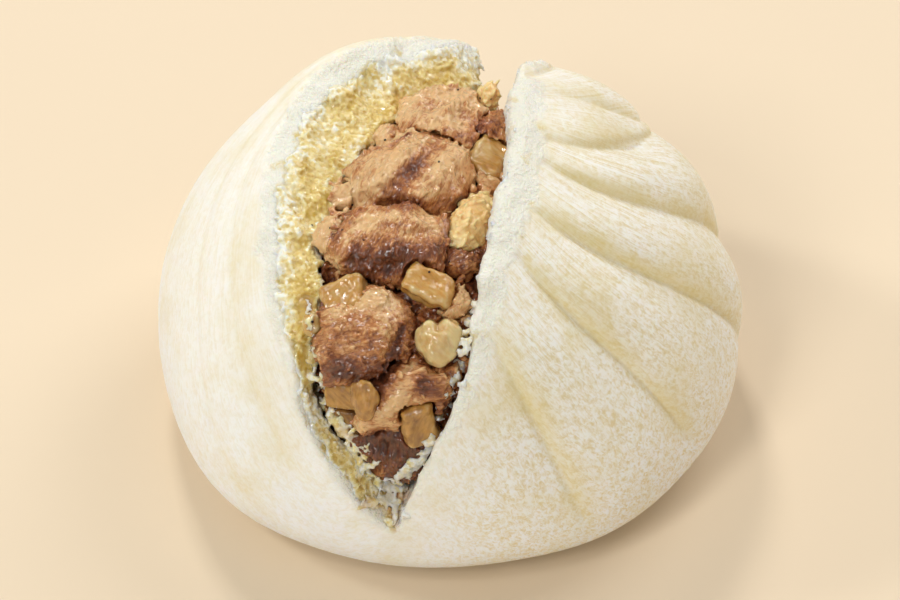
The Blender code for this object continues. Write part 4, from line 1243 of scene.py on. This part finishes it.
def work_crumb(bun):
    """Tears the crumb open: pits, strands and soft ragged edges, with the values for colour."""
    mesh = bun.data
    places = mesh_points(mesh)
    normals = mesh_normals(mesh)
    torn = np.clip(get_attribute(mesh, "torn"), 0, 1)
    index = np.nonzero(torn > 0.01)[0]
    spots = places[index]
    part, right = tear_place(spots)
    strength = np.where(right, 0.2, 0.42) * smooth_step(0.05, 0.9, torn[index])
    strength = strength * (0.45 + 0.55 * smooth_step(1.0, 0.7, part))
    lumps = rough(spots, 2.1, 2.0)
    grains = 0.5 - crater(spots, 1.15, 4.0)
    strands = rough(spots, 0.8, 6.0)
    pits = np.clip(rough(spots, 3.4, 11.0) - 0.15, 0, 1) * 1.8
    shift = 0.42 * lumps + 0.3 * strands + 0.4 * grains - 0.7 * pits
    places[index] += normals[index] * (shift * strength)[:, None]
    set_points(mesh, places)
    yellow, juice = crumb_tone(spots)
    pocket = np.zeros(len(places))
    pocket[index] = np.clip(yellow + 0.3 * pits - 0.15 * grains - 0.12 * lumps, 0, 1)
    soaked = np.zeros(len(places))
    soaked[index] = juice
    set_attribute(mesh, "pocket", pocket)
    set_attribute(mesh, "juice", soaked)


class PORKBUN_OT_dough(bpy.types.Operator):
    """Makes the torn, pleated dough"""

    bl_idname = "porkbun.dough"
    bl_label = "Steamed dough"

    def execute(self, context):
        settings = context.scene.porkbun_dough
        bun = make_dough(settings)
        work_skin(bun, settings)
        work_crumb(bun)
        bun.data.materials.clear()
        bun.data.materials.append(steamed_dough(settings))
        finish_piece(bun, ("bun_dough",))
        return {"FINISHED"}


def grain_sizes(generator, length, spread, shares, count):
    """Random lengths of grains, with their widths and heights as random shares of them."""
    size = length * generator.lognormal(0.0, spread, count)
    return np.stack([size, *(size * generator.uniform(*share, count) for share in shares)], axis=1)


def scatter(points, normals, sizes, seed, name, fibre=None):
    """One mesh of many small uneven grains, each seated on a point, or laid along a fibre."""
    generator = np.random.default_rng(seed)
    bpy.ops.object.select_all(action="DESELECT")
    bpy.ops.mesh.primitive_ico_sphere_add(subdivisions=1, radius=0.5)
    pattern = bpy.context.object
    shape = mesh_points(pattern.data) * MM
    faces = np.array([face.vertices[:] for face in pattern.data.polygons])
    bpy.data.objects.remove(pattern)
    count = len(points)
    if fibre is None:
        aside = np.cross(normals, generator.normal(size=(count, 3)))
    else:
        aside = fibre + generator.normal(0.0, 0.4, (count, 3))
    up = normals + generator.normal(0.0, 0.6, (count, 3))
    up /= np.linalg.norm(up, axis=1)[:, None]
    aside -= (aside * up).sum(axis=1)[:, None] * up
    aside /= np.linalg.norm(aside, axis=1)[:, None]
    frames = np.stack([aside, np.cross(up, aside), up], axis=1)
    bumps = shape[None] * generator.uniform(0.55, 1.4, (count, len(shape), 1)) * sizes[:, None]
    verts = (points[:, None] + np.einsum("nvk,nkc->nvc", bumps, frames)) * MM
    polys = faces[None] + np.arange(count)[:, None, None] * len(shape)
    mesh = bpy.data.meshes.new(name)
    mesh.from_pydata(verts.reshape(-1, 3).tolist(), [], polys.reshape(-1, 3).tolist())
    return new_object(name, mesh)


def face_middles(mesh):
    """Middles, normals and areas of a mesh's faces, in millimetres."""
    middles, normals = np.empty(len(mesh.polygons) * 3), np.empty(len(mesh.polygons) * 3)
    areas = np.empty(len(mesh.polygons))
    mesh.polygons.foreach_get("center", middles)
    mesh.polygons.foreach_get("normal", normals)
    mesh.polygons.foreach_get("area", areas)
    return middles.reshape(-1, 3) / MM, normals.reshape(-1, 3), areas / MM ** 2


def grow_grains(piece, places, normals, weights, count, length, shares, seed, fibre=None):
    """Joins many small uneven grains to a piece, half sunk where the weights put them."""
    generator = np.random.default_rng(seed)
    picked = generator.choice(len(weights), size=count, p=weights / weights.sum())
    points = places[picked] + generator.uniform(-0.2, 0.2, (count, 3))
    points = points + normals[picked] * generator.uniform(-0.15, 0.2, (count, 1)) * length
    sizes = grain_sizes(generator, length, 0.3, shares, count)
    grains = scatter(points, normals[picked], sizes, seed, "grains", fibre)
    bpy.ops.object.select_all(action="DESELECT")
    grains.select_set(True)
    piece.select_set(True)
    bpy.context.view_layer.objects.active = piece
    bpy.ops.object.join()


def torn_wall(bun, name, on_right, settings):
    """Crumb over one torn wall: a sheet of the wall with flakes and grains grown on it."""
    body = bmesh.new()
    body.from_mesh(bun.data)
    layer = body.verts.layers.float["torn"]
    places = mesh_points(bun.data)
    part, right = tear_place(places)
    rim = 0.6 * settings.rim if on_right else settings.rim
    wanted = (right == on_right) & (part < rim)
    drop = [v for v in body.verts if v[layer] < 0.75 or not wanted[v.index]]
    bmesh.ops.delete(body, geom=drop, context="VERTS")
    mesh = bpy.data.meshes.new(name)
    body.to_mesh(mesh)
    body.free()
    wall = new_object(name, mesh)
    spots = mesh_points(mesh)
    part, _ = tear_place(spots)
    edge = part + 0.12 * rough(spots, 2.6, 33.0)
    sink = 0.4 if on_right else -0.1
    rise = -sink - 0.6 * smooth_step(rim - 0.3, rim, edge)
    set_points(mesh, spots + mesh_normals(mesh) * rise[:, None])
    middles, normals, areas = face_middles(mesh)
    if on_right:
        middles = middles + normals * sink
    apply_modifier(wall, "SOLIDIFY", thickness=settings.sheet * MM, offset=-1.0)
    yellow, _ = crumb_tone(middles)
    part, _ = tear_place(middles)
    edge = part + 0.12 * rough(middles, 2.6, 33.0)
    clumps = 0.55 + 1.1 * rough(middles, 3.6, 41.0)
    weights = areas * np.clip(clumps, 0.15, 1.3) * (1.0 - 0.5 * yellow)
    weights *= smooth_step(rim - 0.06, rim - 0.32, edge)
    weights *= 1.0 + 1.2 * smooth_step(0.2, 0.0, part)
    # rows of grains: their number to a square millimetre, length and seed
    if on_right:
        weights *= smooth_step(0.34, 0.08, part)
        rows = ((1.6, settings.fine_grain, 61),)
    else:
        rows = ((0.8, settings.flake, 62), (4.0, settings.grain, 63))
    for density, length, seed in rows:
        grow_grains(wall, middles, normals, weights, int(density * areas.sum()), length,
                    ((0.4, 0.8), (0.25, 0.45)), seed)
    apply_modifier(wall, "REMESH", mode="VOXEL", voxel_size=settings.crumb_voxel * MM)
    mesh = wall.data
    raw = mesh_points(mesh)
    places = 0.5 * raw + 0.5 * smooth_points(mesh, raw, 1)
    set_points(mesh, places)
    rise = relief(mesh, places, 24)
    tone, juice = crumb_tone(places)
    set_attribute(mesh, "pocket", np.clip(tone - 0.5 * rise + 0.08 * rough(places, 0.9, 27.0), 0, 1))
    set_attribute(mesh, "juice", np.clip(juice - 0.3 * rise, 0, 1))
    set_attribute(mesh, "white", np.clip(0.5 + 1.6 * rise, 0, 1))
    mesh.materials.clear()
    return wall


class PORKBUN_OT_crumb(bpy.types.Operator):
    """Grows the open crumb on the torn walls"""

    bl_idname = "porkbun.crumb"
    bl_label = "Torn crumb"

    def execute(self, context):
        settings = context.scene.porkbun_dough
        bun = bpy.data.objects["bun_dough_fine"]
        material = torn_crumb(settings)
        for name, on_right in (("crumb_left_wall", False), ("crumb_right_wall", True)):
            wall = torn_wall(bun, name, on_right, settings)
            wall.data.materials.append(material)
            finish_piece(wall)
        return {"FINISHED"}


def fibre_way(seed):
    """Direction of a piece's fibres: up the bun and to the right, each piece a little its own way."""
    way = np.array(FIBRE_WAY) + np.random.default_rng(int(seed)).normal(0.0, 0.35, 3)
    return way / np.linalg.norm(way)


def torn_meat(node, settings, voxel, mince, seed):
    """Piece of meat from its solid, torn into lumps and ridges, with shreds of mince on it."""
    piece = node_copy(node, node + "_fine")
    apply_modifier(piece, "REMESH", mode="VOXEL", voxel_size=1.6 * voxel * MM)
    mesh = piece.data
    places = even_out(mesh, 4)
    normals = mesh_normals(mesh)
    fibre = fibre_way(seed)
    stretched = places - 0.68 * (places @ fibre)[:, None] * fibre
    lumps = rough(places, 3.6, seed)
    ridges = 1.0 - 2.4 * np.abs(rough(stretched, 1.9, seed + 3))
    shift = settings.crag * (0.9 * lumps + 0.6 * ridges - 0.45)
    shift = shift - strokes_at(places, HOLLOW_STROKES)
    set_points(mesh, places + normals * shift[:, None])
    middles, normals, areas = face_middles(mesh)
    patches = smooth_step(-0.3, 0.3, rough(middles, 4.0, seed + 15) - 0.45 + 0.9 * mince)
    count = int(areas.sum() * (0.6 + mince))
    grow_grains(piece, middles, normals, areas * (0.1 + patches), count, settings.shred,
                ((0.3, 0.6), (0.28, 0.5)), int(seed) + 200, fibre)
    apply_modifier(piece, "REMESH", mode="VOXEL", voxel_size=voxel * MM)
    mesh = piece.data
    places = even_out(mesh, 1)
    stretched = places - 0.7 * (places @ fibre)[:, None] * fibre
    places = places + mesh_normals(mesh) * (0.09 * rough(stretched, 0.6, seed + 7))[:, None]
    set_points(mesh, places)
    set_attribute(mesh, "strand", stretched)
    # ridge: high on raised crags, low in hollows; the pork's colour paints light on the crags and shade
    # in the hollows with it
    set_attribute(mesh, "ridge", np.clip(0.5 + 1.1 * relief(mesh, places, 30), 0, 1))
    return piece


def colour_meat(piece, node, trees, seed):
    """Writes how brown and how amber each point of a piece of meat is, with painted shade close to the
    other pieces and along the strokes.
    """
    mesh = piece.data
    places = mesh_points(mesh)
    # painted shade: meat within 1.5 mm of another piece is darker, where shade falls between them
    gaps = gaps_to([tree for name, tree in trees.items() if name != node], places, 1.6)
    brown = DARKNESS[node] + 0.28 * rough(places, 4.5, seed) + 0.3 * smooth_step(1.5, 0.0, gaps)
    brown = brown + strokes_at(places, BROWN_AND_SHADE_STROKES) - 0.05
    amber = strokes_at(places, AMBER_STROKES) + 0.5 * rough(places, 4.0, seed + 5) - 0.12
    set_attribute(mesh, "dark", np.clip(brown, 0, 1))
    set_attribute(mesh, "amber", np.clip(amber, 0, 1))


class PORKBUN_OT_meat(bpy.types.Operator):
    """Makes the pieces of braised pork and the minced core under them"""

    bl_idname = "porkbun.meat"
    bl_label = "Braised pork"

    def execute(self, context):
        settings = context.scene.porkbun_filling
        material = braised_pork(settings)
        trees = {name: node_tree_of(name) for name in (*CHUNKS, *BITS, *FAT, *ONION)}
        for number, node in enumerate((*CHUNKS, *BITS, "pork_filling")):
            voxel = settings.core_voxel if node == "pork_filling" else settings.voxel
            piece = torn_meat(node, settings, voxel, MINCED.get(node, 1.0), 10.0 + number)
            colour_meat(piece, node, trees, 50.0 + number)
            piece.data.materials.append(material)
            finish_piece(piece, (node,))
        return {"FINISHED"}


def cast_on_pixel(context, x, y):
    """Place and normal, in millimetres, of what the picture shows at a pixel."""
    graph = context.evaluated_depsgraph_get()
    eye, view, right, up = camera_frame()
    scale = 1.0 / (PIXELS_PER_MM * CAMERA_DISTANCE / MM)
    ray = view + (x - IMAGE_MIDDLE[0]) * scale * right - (y - IMAGE_MIDDLE[1]) * scale * up
    ray = Vector(ray).normalized()
    start = Vector(eye * MM)
    for _ in range(12):
        hit, spot, normal, _, thing, _ = context.scene.ray_cast(graph, start, ray)
        if not hit:
            raise RuntimeError(f"nothing is seen at pixel {x}, {y}")
        if thing.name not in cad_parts:
            break
        start = spot + ray * 0.00001
    return np.array(spot) / MM, np.array(normal)


def add_bridges(context, bridges, count, sag, generator, points, normals):
    """Adds points, with their normals, on sagging lines between pairs of the picture's pixels."""
    for x0, y0, x1, y1 in bridges:
        start, way = cast_on_pixel(context, x0, y0)
        end, _ = cast_on_pixel(context, x1, y1)
        for share in np.linspace(0.1, 0.9, count):
            points.append(start + share * (end - start) + generator.normal(0.0, 0.3, 3)
                          - UPWARDS * 4 * sag * share * (1 - share))
            normals.append(way)


def outside_all(trees, places):
    """True for each place that lies outside every solid of the trees."""
    free = np.ones(len(places), bool)
    for tree in trees:
        for index in np.nonzero(free)[0]:
            spot, normal, _, gap = tree.find_nearest(Vector(places[index]), 4.0)
            if spot is not None and gap > 0.05 and (Vector(places[index]) - spot).dot(normal) < 0:
                free[index] = False
    return free


class PORKBUN_OT_mince(bpy.types.Operator):
    """Packs loose mince into the gaps between the larger pieces"""

    bl_idname = "porkbun.mince"
    bl_label = "Loose mince"

    def execute(self, context):
        settings = context.scene.porkbun_filling
        generator = np.random.default_rng(90)
        middles, normals, areas = face_middles(bpy.data.objects["pork_filling_fine"].data)
        angle = np.degrees(np.arctan2(middles[:, 2] - TEAR_AXIS_HEIGHT, middles @ ALONG))
        across = middles @ ACROSS
        bare = across > curve_at(LEFT_INNER_EDGE, angle) - 0.5
        bare &= across < curve_at(RIGHT_LIP, angle) + 1.0
        weights = areas * bare * (angle > -14.0) * (angle < 125.0)
        picked = generator.choice(len(weights), size=6 * settings.mince, p=weights / weights.sum())
        points = middles[picked] + normals[picked] * generator.uniform(0.4, 3.0, (len(picked), 1))
        trees = [node_tree_of(name) for name in (*CHUNKS, *BITS, *FAT, *ONION)]
        free = np.nonzero(outside_all(trees, points))[0][:settings.mince]
        points, normals = list(points[free]), list(normals[picked[free]])
        add_bridges(context, MINCE_BRIDGES, 9, 0.6, generator, points, normals)
        points, normals = np.array(points), np.array(normals)
        sizes = grain_sizes(generator, settings.crumb, 0.25, ((0.5, 0.8), (0.45, 0.7)), len(points))
        piece = scatter(points, normals, sizes, 91, "loose_mince")
        apply_modifier(piece, "REMESH", mode="VOXEL", voxel_size=1.4 * settings.voxel * MM)
        mesh = piece.data
        places = even_out(mesh, 1)
        # ridge: high on raised crumbs, which the pork's colour paints paler as painted light
        set_attribute(mesh, "ridge", np.clip(0.4 + 1.2 * relief(mesh, places, 12), 0, 1))
        # painted light: mince higher up the picture, towards the lit top, is paler
        lit = smooth_step(260.0, 200.0, pixels_of(places)[:, 1])
        brown = 0.62 - 0.32 * lit + 0.5 * rough(places, 3.0, 92.0)
        set_attribute(mesh, "dark", np.clip(brown, 0, 1))
        set_attribute(mesh, "amber", np.clip(0.1 + 0.6 * rough(places, 3.5, 93.0), 0, 1))
        fibre = fibre_way(94)
        set_attribute(mesh, "strand", places - 0.7 * (places @ fibre)[:, None] * fibre)
        mesh.materials.append(bpy.data.materials["braised_minced_pork"])
        finish_piece(piece)
        return {"FINISHED"}


class PORKBUN_OT_flakes(bpy.types.Operator):
    """Lays flakes of crumb along the tear's ragged edges and over its low end"""

    bl_idname = "porkbun.flakes"
    bl_label = "Crumb flakes"

    def execute(self, context):
        settings = context.scene.porkbun_dough
        generator = np.random.default_rng(96)
        points, normals = [], []
        for x0, y0, x1, y1, width, count in FLAKE_STROKES:
            for share in generator.uniform(0.0, 1.0, count):
                aside, down = generator.normal(0.0, width / 2, 2)
                spot, normal = cast_on_pixel(context, x0 + share * (x1 - x0) + aside,
                                             y0 + share * (y1 - y0) + down)
                points.append(spot + normal * generator.uniform(0.0, 0.5))
                normals.append(normal)
        add_bridges(context, CRUMB_BRIDGES, 22, 0.6, generator, points, normals)
        add_bridges(context, LIP_BRIDGES, 24, 0.3, generator, points, normals)
        sizes = grain_sizes(generator, 0.8 * settings.flake, 0.25, ((0.5, 0.9), (0.25, 0.45)),
                            len(points))
        piece = scatter(np.array(points), np.array(normals), sizes, 97, "crumb_flakes")
        apply_modifier(piece, "REMESH", mode="VOXEL", voxel_size=settings.crumb_voxel * MM)
        mesh = piece.data
        places = even_out(mesh, 1)
        tone = 0.3 + 0.5 * rough(places, 2.2, 98.0) - 0.25 * smooth_step(-2.0, 2.0, places @ ACROSS)
        set_attribute(mesh, "pocket", np.clip(tone, 0, 1))
        set_attribute(mesh, "juice", np.clip(0.6 * rough(places, 3.0, 99.0) + 0.06, 0, 1))
        set_attribute(mesh, "white", np.full(len(places), 0.6))
        mesh.materials.append(bpy.data.materials["torn_steamed_crumb"])
        finish_piece(piece)
        return {"FINISHED"}


class PORKBUN_OT_pepper(bpy.types.Operator):
    """Sprinkles the few specks of ground pepper that the picture shows"""

    bl_idname = "porkbun.pepper"
    bl_label = "Pepper specks"

    def execute(self, context):
        settings = context.scene.porkbun_filling
        spots, normals, sizes = [], [], []
        for x, y, size in PEPPER_SPECKS:
            spot, normal = cast_on_pixel(context, x, y)
            spots.append(spot)
            normals.append(normal)
            sizes.append((size, size * 0.8, size * 0.6))
        specks = scatter(np.array(spots), np.array(normals), np.array(sizes), 95, "pepper_specks")
        specks.data.materials.append(ground_pepper(settings))
        finish_piece(specks)
        return {"FINISHED"}


class PORKBUN_OT_fat(bpy.types.Operator):
    """Makes the bits of cooked fat"""

    bl_idname = "porkbun.fat"
    bl_label = "Pork fat"

    def execute(self, context):
        settings = context.scene.porkbun_filling
        material = rendered_fat(settings)
        for number, node in enumerate(FAT):
            piece = torn_meat(node, settings, settings.voxel, 1.3, 30.0 + number)
            piece.data.materials.append(material)
            finish_piece(piece, (node,))
        return {"FINISHED"}


class PORKBUN_OT_onion(bpy.types.Operator):
    """Makes the pieces of cooked onion"""

    bl_idname = "porkbun.onion"
    bl_label = "Cooked onion"

    def execute(self, context):
        settings = context.scene.porkbun_filling
        material = cooked_onion(settings)
        for number, node in enumerate(ONION):
            piece = node_copy(node, node + "_fine")
            apply_modifier(piece, "REMESH", mode="VOXEL", voxel_size=settings.onion_voxel * MM)
            mesh = piece.data
            places = even_out(mesh, 3)
            wave = 0.5 * rough(places, 4.0, 70.0 + number) + 0.3 * rough(places, 1.5, 80.0 + number)
            wave = wave - strokes_at(places, ONION_STROKES)
            places = places + mesh_normals(mesh) * wave[:, None]
            set_points(mesh, places)
            set_attribute(mesh, "ridge", smooth_step(0.05, 0.3, relief(mesh, places, 12)))
            set_attribute(mesh, "pale", np.full(len(places), ONION_PALENESS[node]))
            layers = np.array(ONION_WAYS.get(node, ONION_WAY))
            layers = layers / np.linalg.norm(layers)
            set_attribute(mesh, "strand", places - 0.85 * (places @ layers)[:, None] * layers)
            mesh.materials.append(material)
            finish_piece(piece, (node,))
        return {"FINISHED"}


class PORKBUN_OT_stage(bpy.types.Operator):
    """Sets the floor, the light and the camera"""

    bl_idname = "porkbun.stage"
    bl_label = "Stage"

    def execute(self, context):
        settings = context.scene.porkbun_stage
        bpy.ops.object.select_all(action="DESELECT")
        bpy.ops.mesh.primitive_plane_add(size=3.0, location=(0, 0, 0))
        floor = context.object
        floor.name = "paper_floor"
        floor.data.materials.append(matte_paper(settings))
        for name, energy, size, place, tint in (
                ("key_softbox", settings.key_power, 0.5, (-0.8, -1.2, 1.3), (0.98, 1.0, 1.0)),
                ("left_softbox", settings.left_power, 0.28, (-1.3, 0.2, 1.05), (0.94, 0.99, 1.0)),
                ("back_softbox", settings.back_power, 1.0, (0.9, 0.8, 1.2), (0.98, 0.99, 1.0)),
                ("fill_softbox", settings.fill_power, 1.2, (1.3, -1.0, 1.1), (1.0, 0.98, 0.94)),
                ("low_softbox", settings.low_power, 1.2, (-0.3, -1.9, 0.4), (0.6, 0.84, 1.0)),
                ("front_lamp", settings.front_power, 0.26, (-0.55, -0.8, 1.45), (1.0, 1.0, 1.0)),
                ("glint_lamp", settings.glint_power, 0.26, (-0.25, 0.9, 1.3), (1.0, 1.0, 1.0))):
            lamp = bpy.data.lights.new(name, "AREA")
            lamp.energy = energy
            lamp.size = size
            lamp.color = tint
            light = new_object(name, lamp)
            light.location = place
            aim = Vector(LAMPS_AIM) - Vector(place)
            light.rotation_euler = aim.to_track_quat("-Z", "Y").to_euler()
        world = bpy.data.worlds.new("studio_air")
        world.use_nodes = True
        air = world.node_tree.nodes["Background"].inputs
        air["Color"].default_value = settings.air
        air["Strength"].default_value = settings.air_strength
        context.scene.world = world
        context.scene.view_settings.view_transform = "Standard"
        eye, _, _, _ = camera_frame()
        lens = bpy.data.cameras.new("camera")
        camera = new_object("camera", lens)
        camera.location = Vector(eye * MM)
        camera.rotation_euler = (math.pi / 2 - math.radians(CAMERA_ELEVATION_DEG), 0.0, 0.0)
        lens.sensor_width = SENSOR_WIDTH
        lens.lens = SENSOR_WIDTH * CAMERA_DISTANCE / MM / (IMAGE_WIDTH / PIXELS_PER_MM)
        context.scene.camera = camera
        return {"FINISHED"}


STEPS = (PORKBUN_OT_dough, PORKBUN_OT_crumb, PORKBUN_OT_meat, PORKBUN_OT_mince, PORKBUN_OT_fat,
         PORKBUN_OT_onion, PORKBUN_OT_flakes, PORKBUN_OT_pepper, PORKBUN_OT_stage)


class PORKBUN_PT_panel(bpy.types.Panel):
    """Lists the bun's pieces and settings"""

    bl_idname = "PORKBUN_PT_panel"
    bl_label = "Pork bun"
    bl_space_type = "VIEW_3D"
    bl_region_type = "UI"
    bl_category = "Pork bun"

    def draw(self, context):
        for step in STEPS:
            self.layout.operator(step.bl_idname)
        for group in ("porkbun_dough", "porkbun_filling", "porkbun_stage"):
            box = self.layout.box()
            for name in getattr(context.scene, group).__annotations__:
                box.prop(getattr(context.scene, group), name)


CLASSES = (DoughSettings, FillingSettings, StageSettings, *STEPS, PORKBUN_PT_panel)


def register():
    """Registers the add-on's classes and settings."""
    for item in CLASSES:
        bpy.utils.register_class(item)
    bpy.types.Scene.porkbun_dough = bpy.props.PointerProperty(type=DoughSettings)
    bpy.types.Scene.porkbun_filling = bpy.props.PointerProperty(type=FillingSettings)
    bpy.types.Scene.porkbun_stage = bpy.props.PointerProperty(type=StageSettings)


def unregister():
    """Removes the add-on's classes and settings."""
    for name in ("porkbun_dough", "porkbun_filling", "porkbun_stage"):
        delattr(bpy.types.Scene, name)
    for item in reversed(CLASSES):
        bpy.utils.unregister_class(item)


def main():
    """Makes every piece."""
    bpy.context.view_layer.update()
    register()
    for step in STEPS:
        group, name = step.bl_idname.split(".")
        getattr(getattr(bpy.ops, group), name)()


if __name__ == "__main__":
    main()
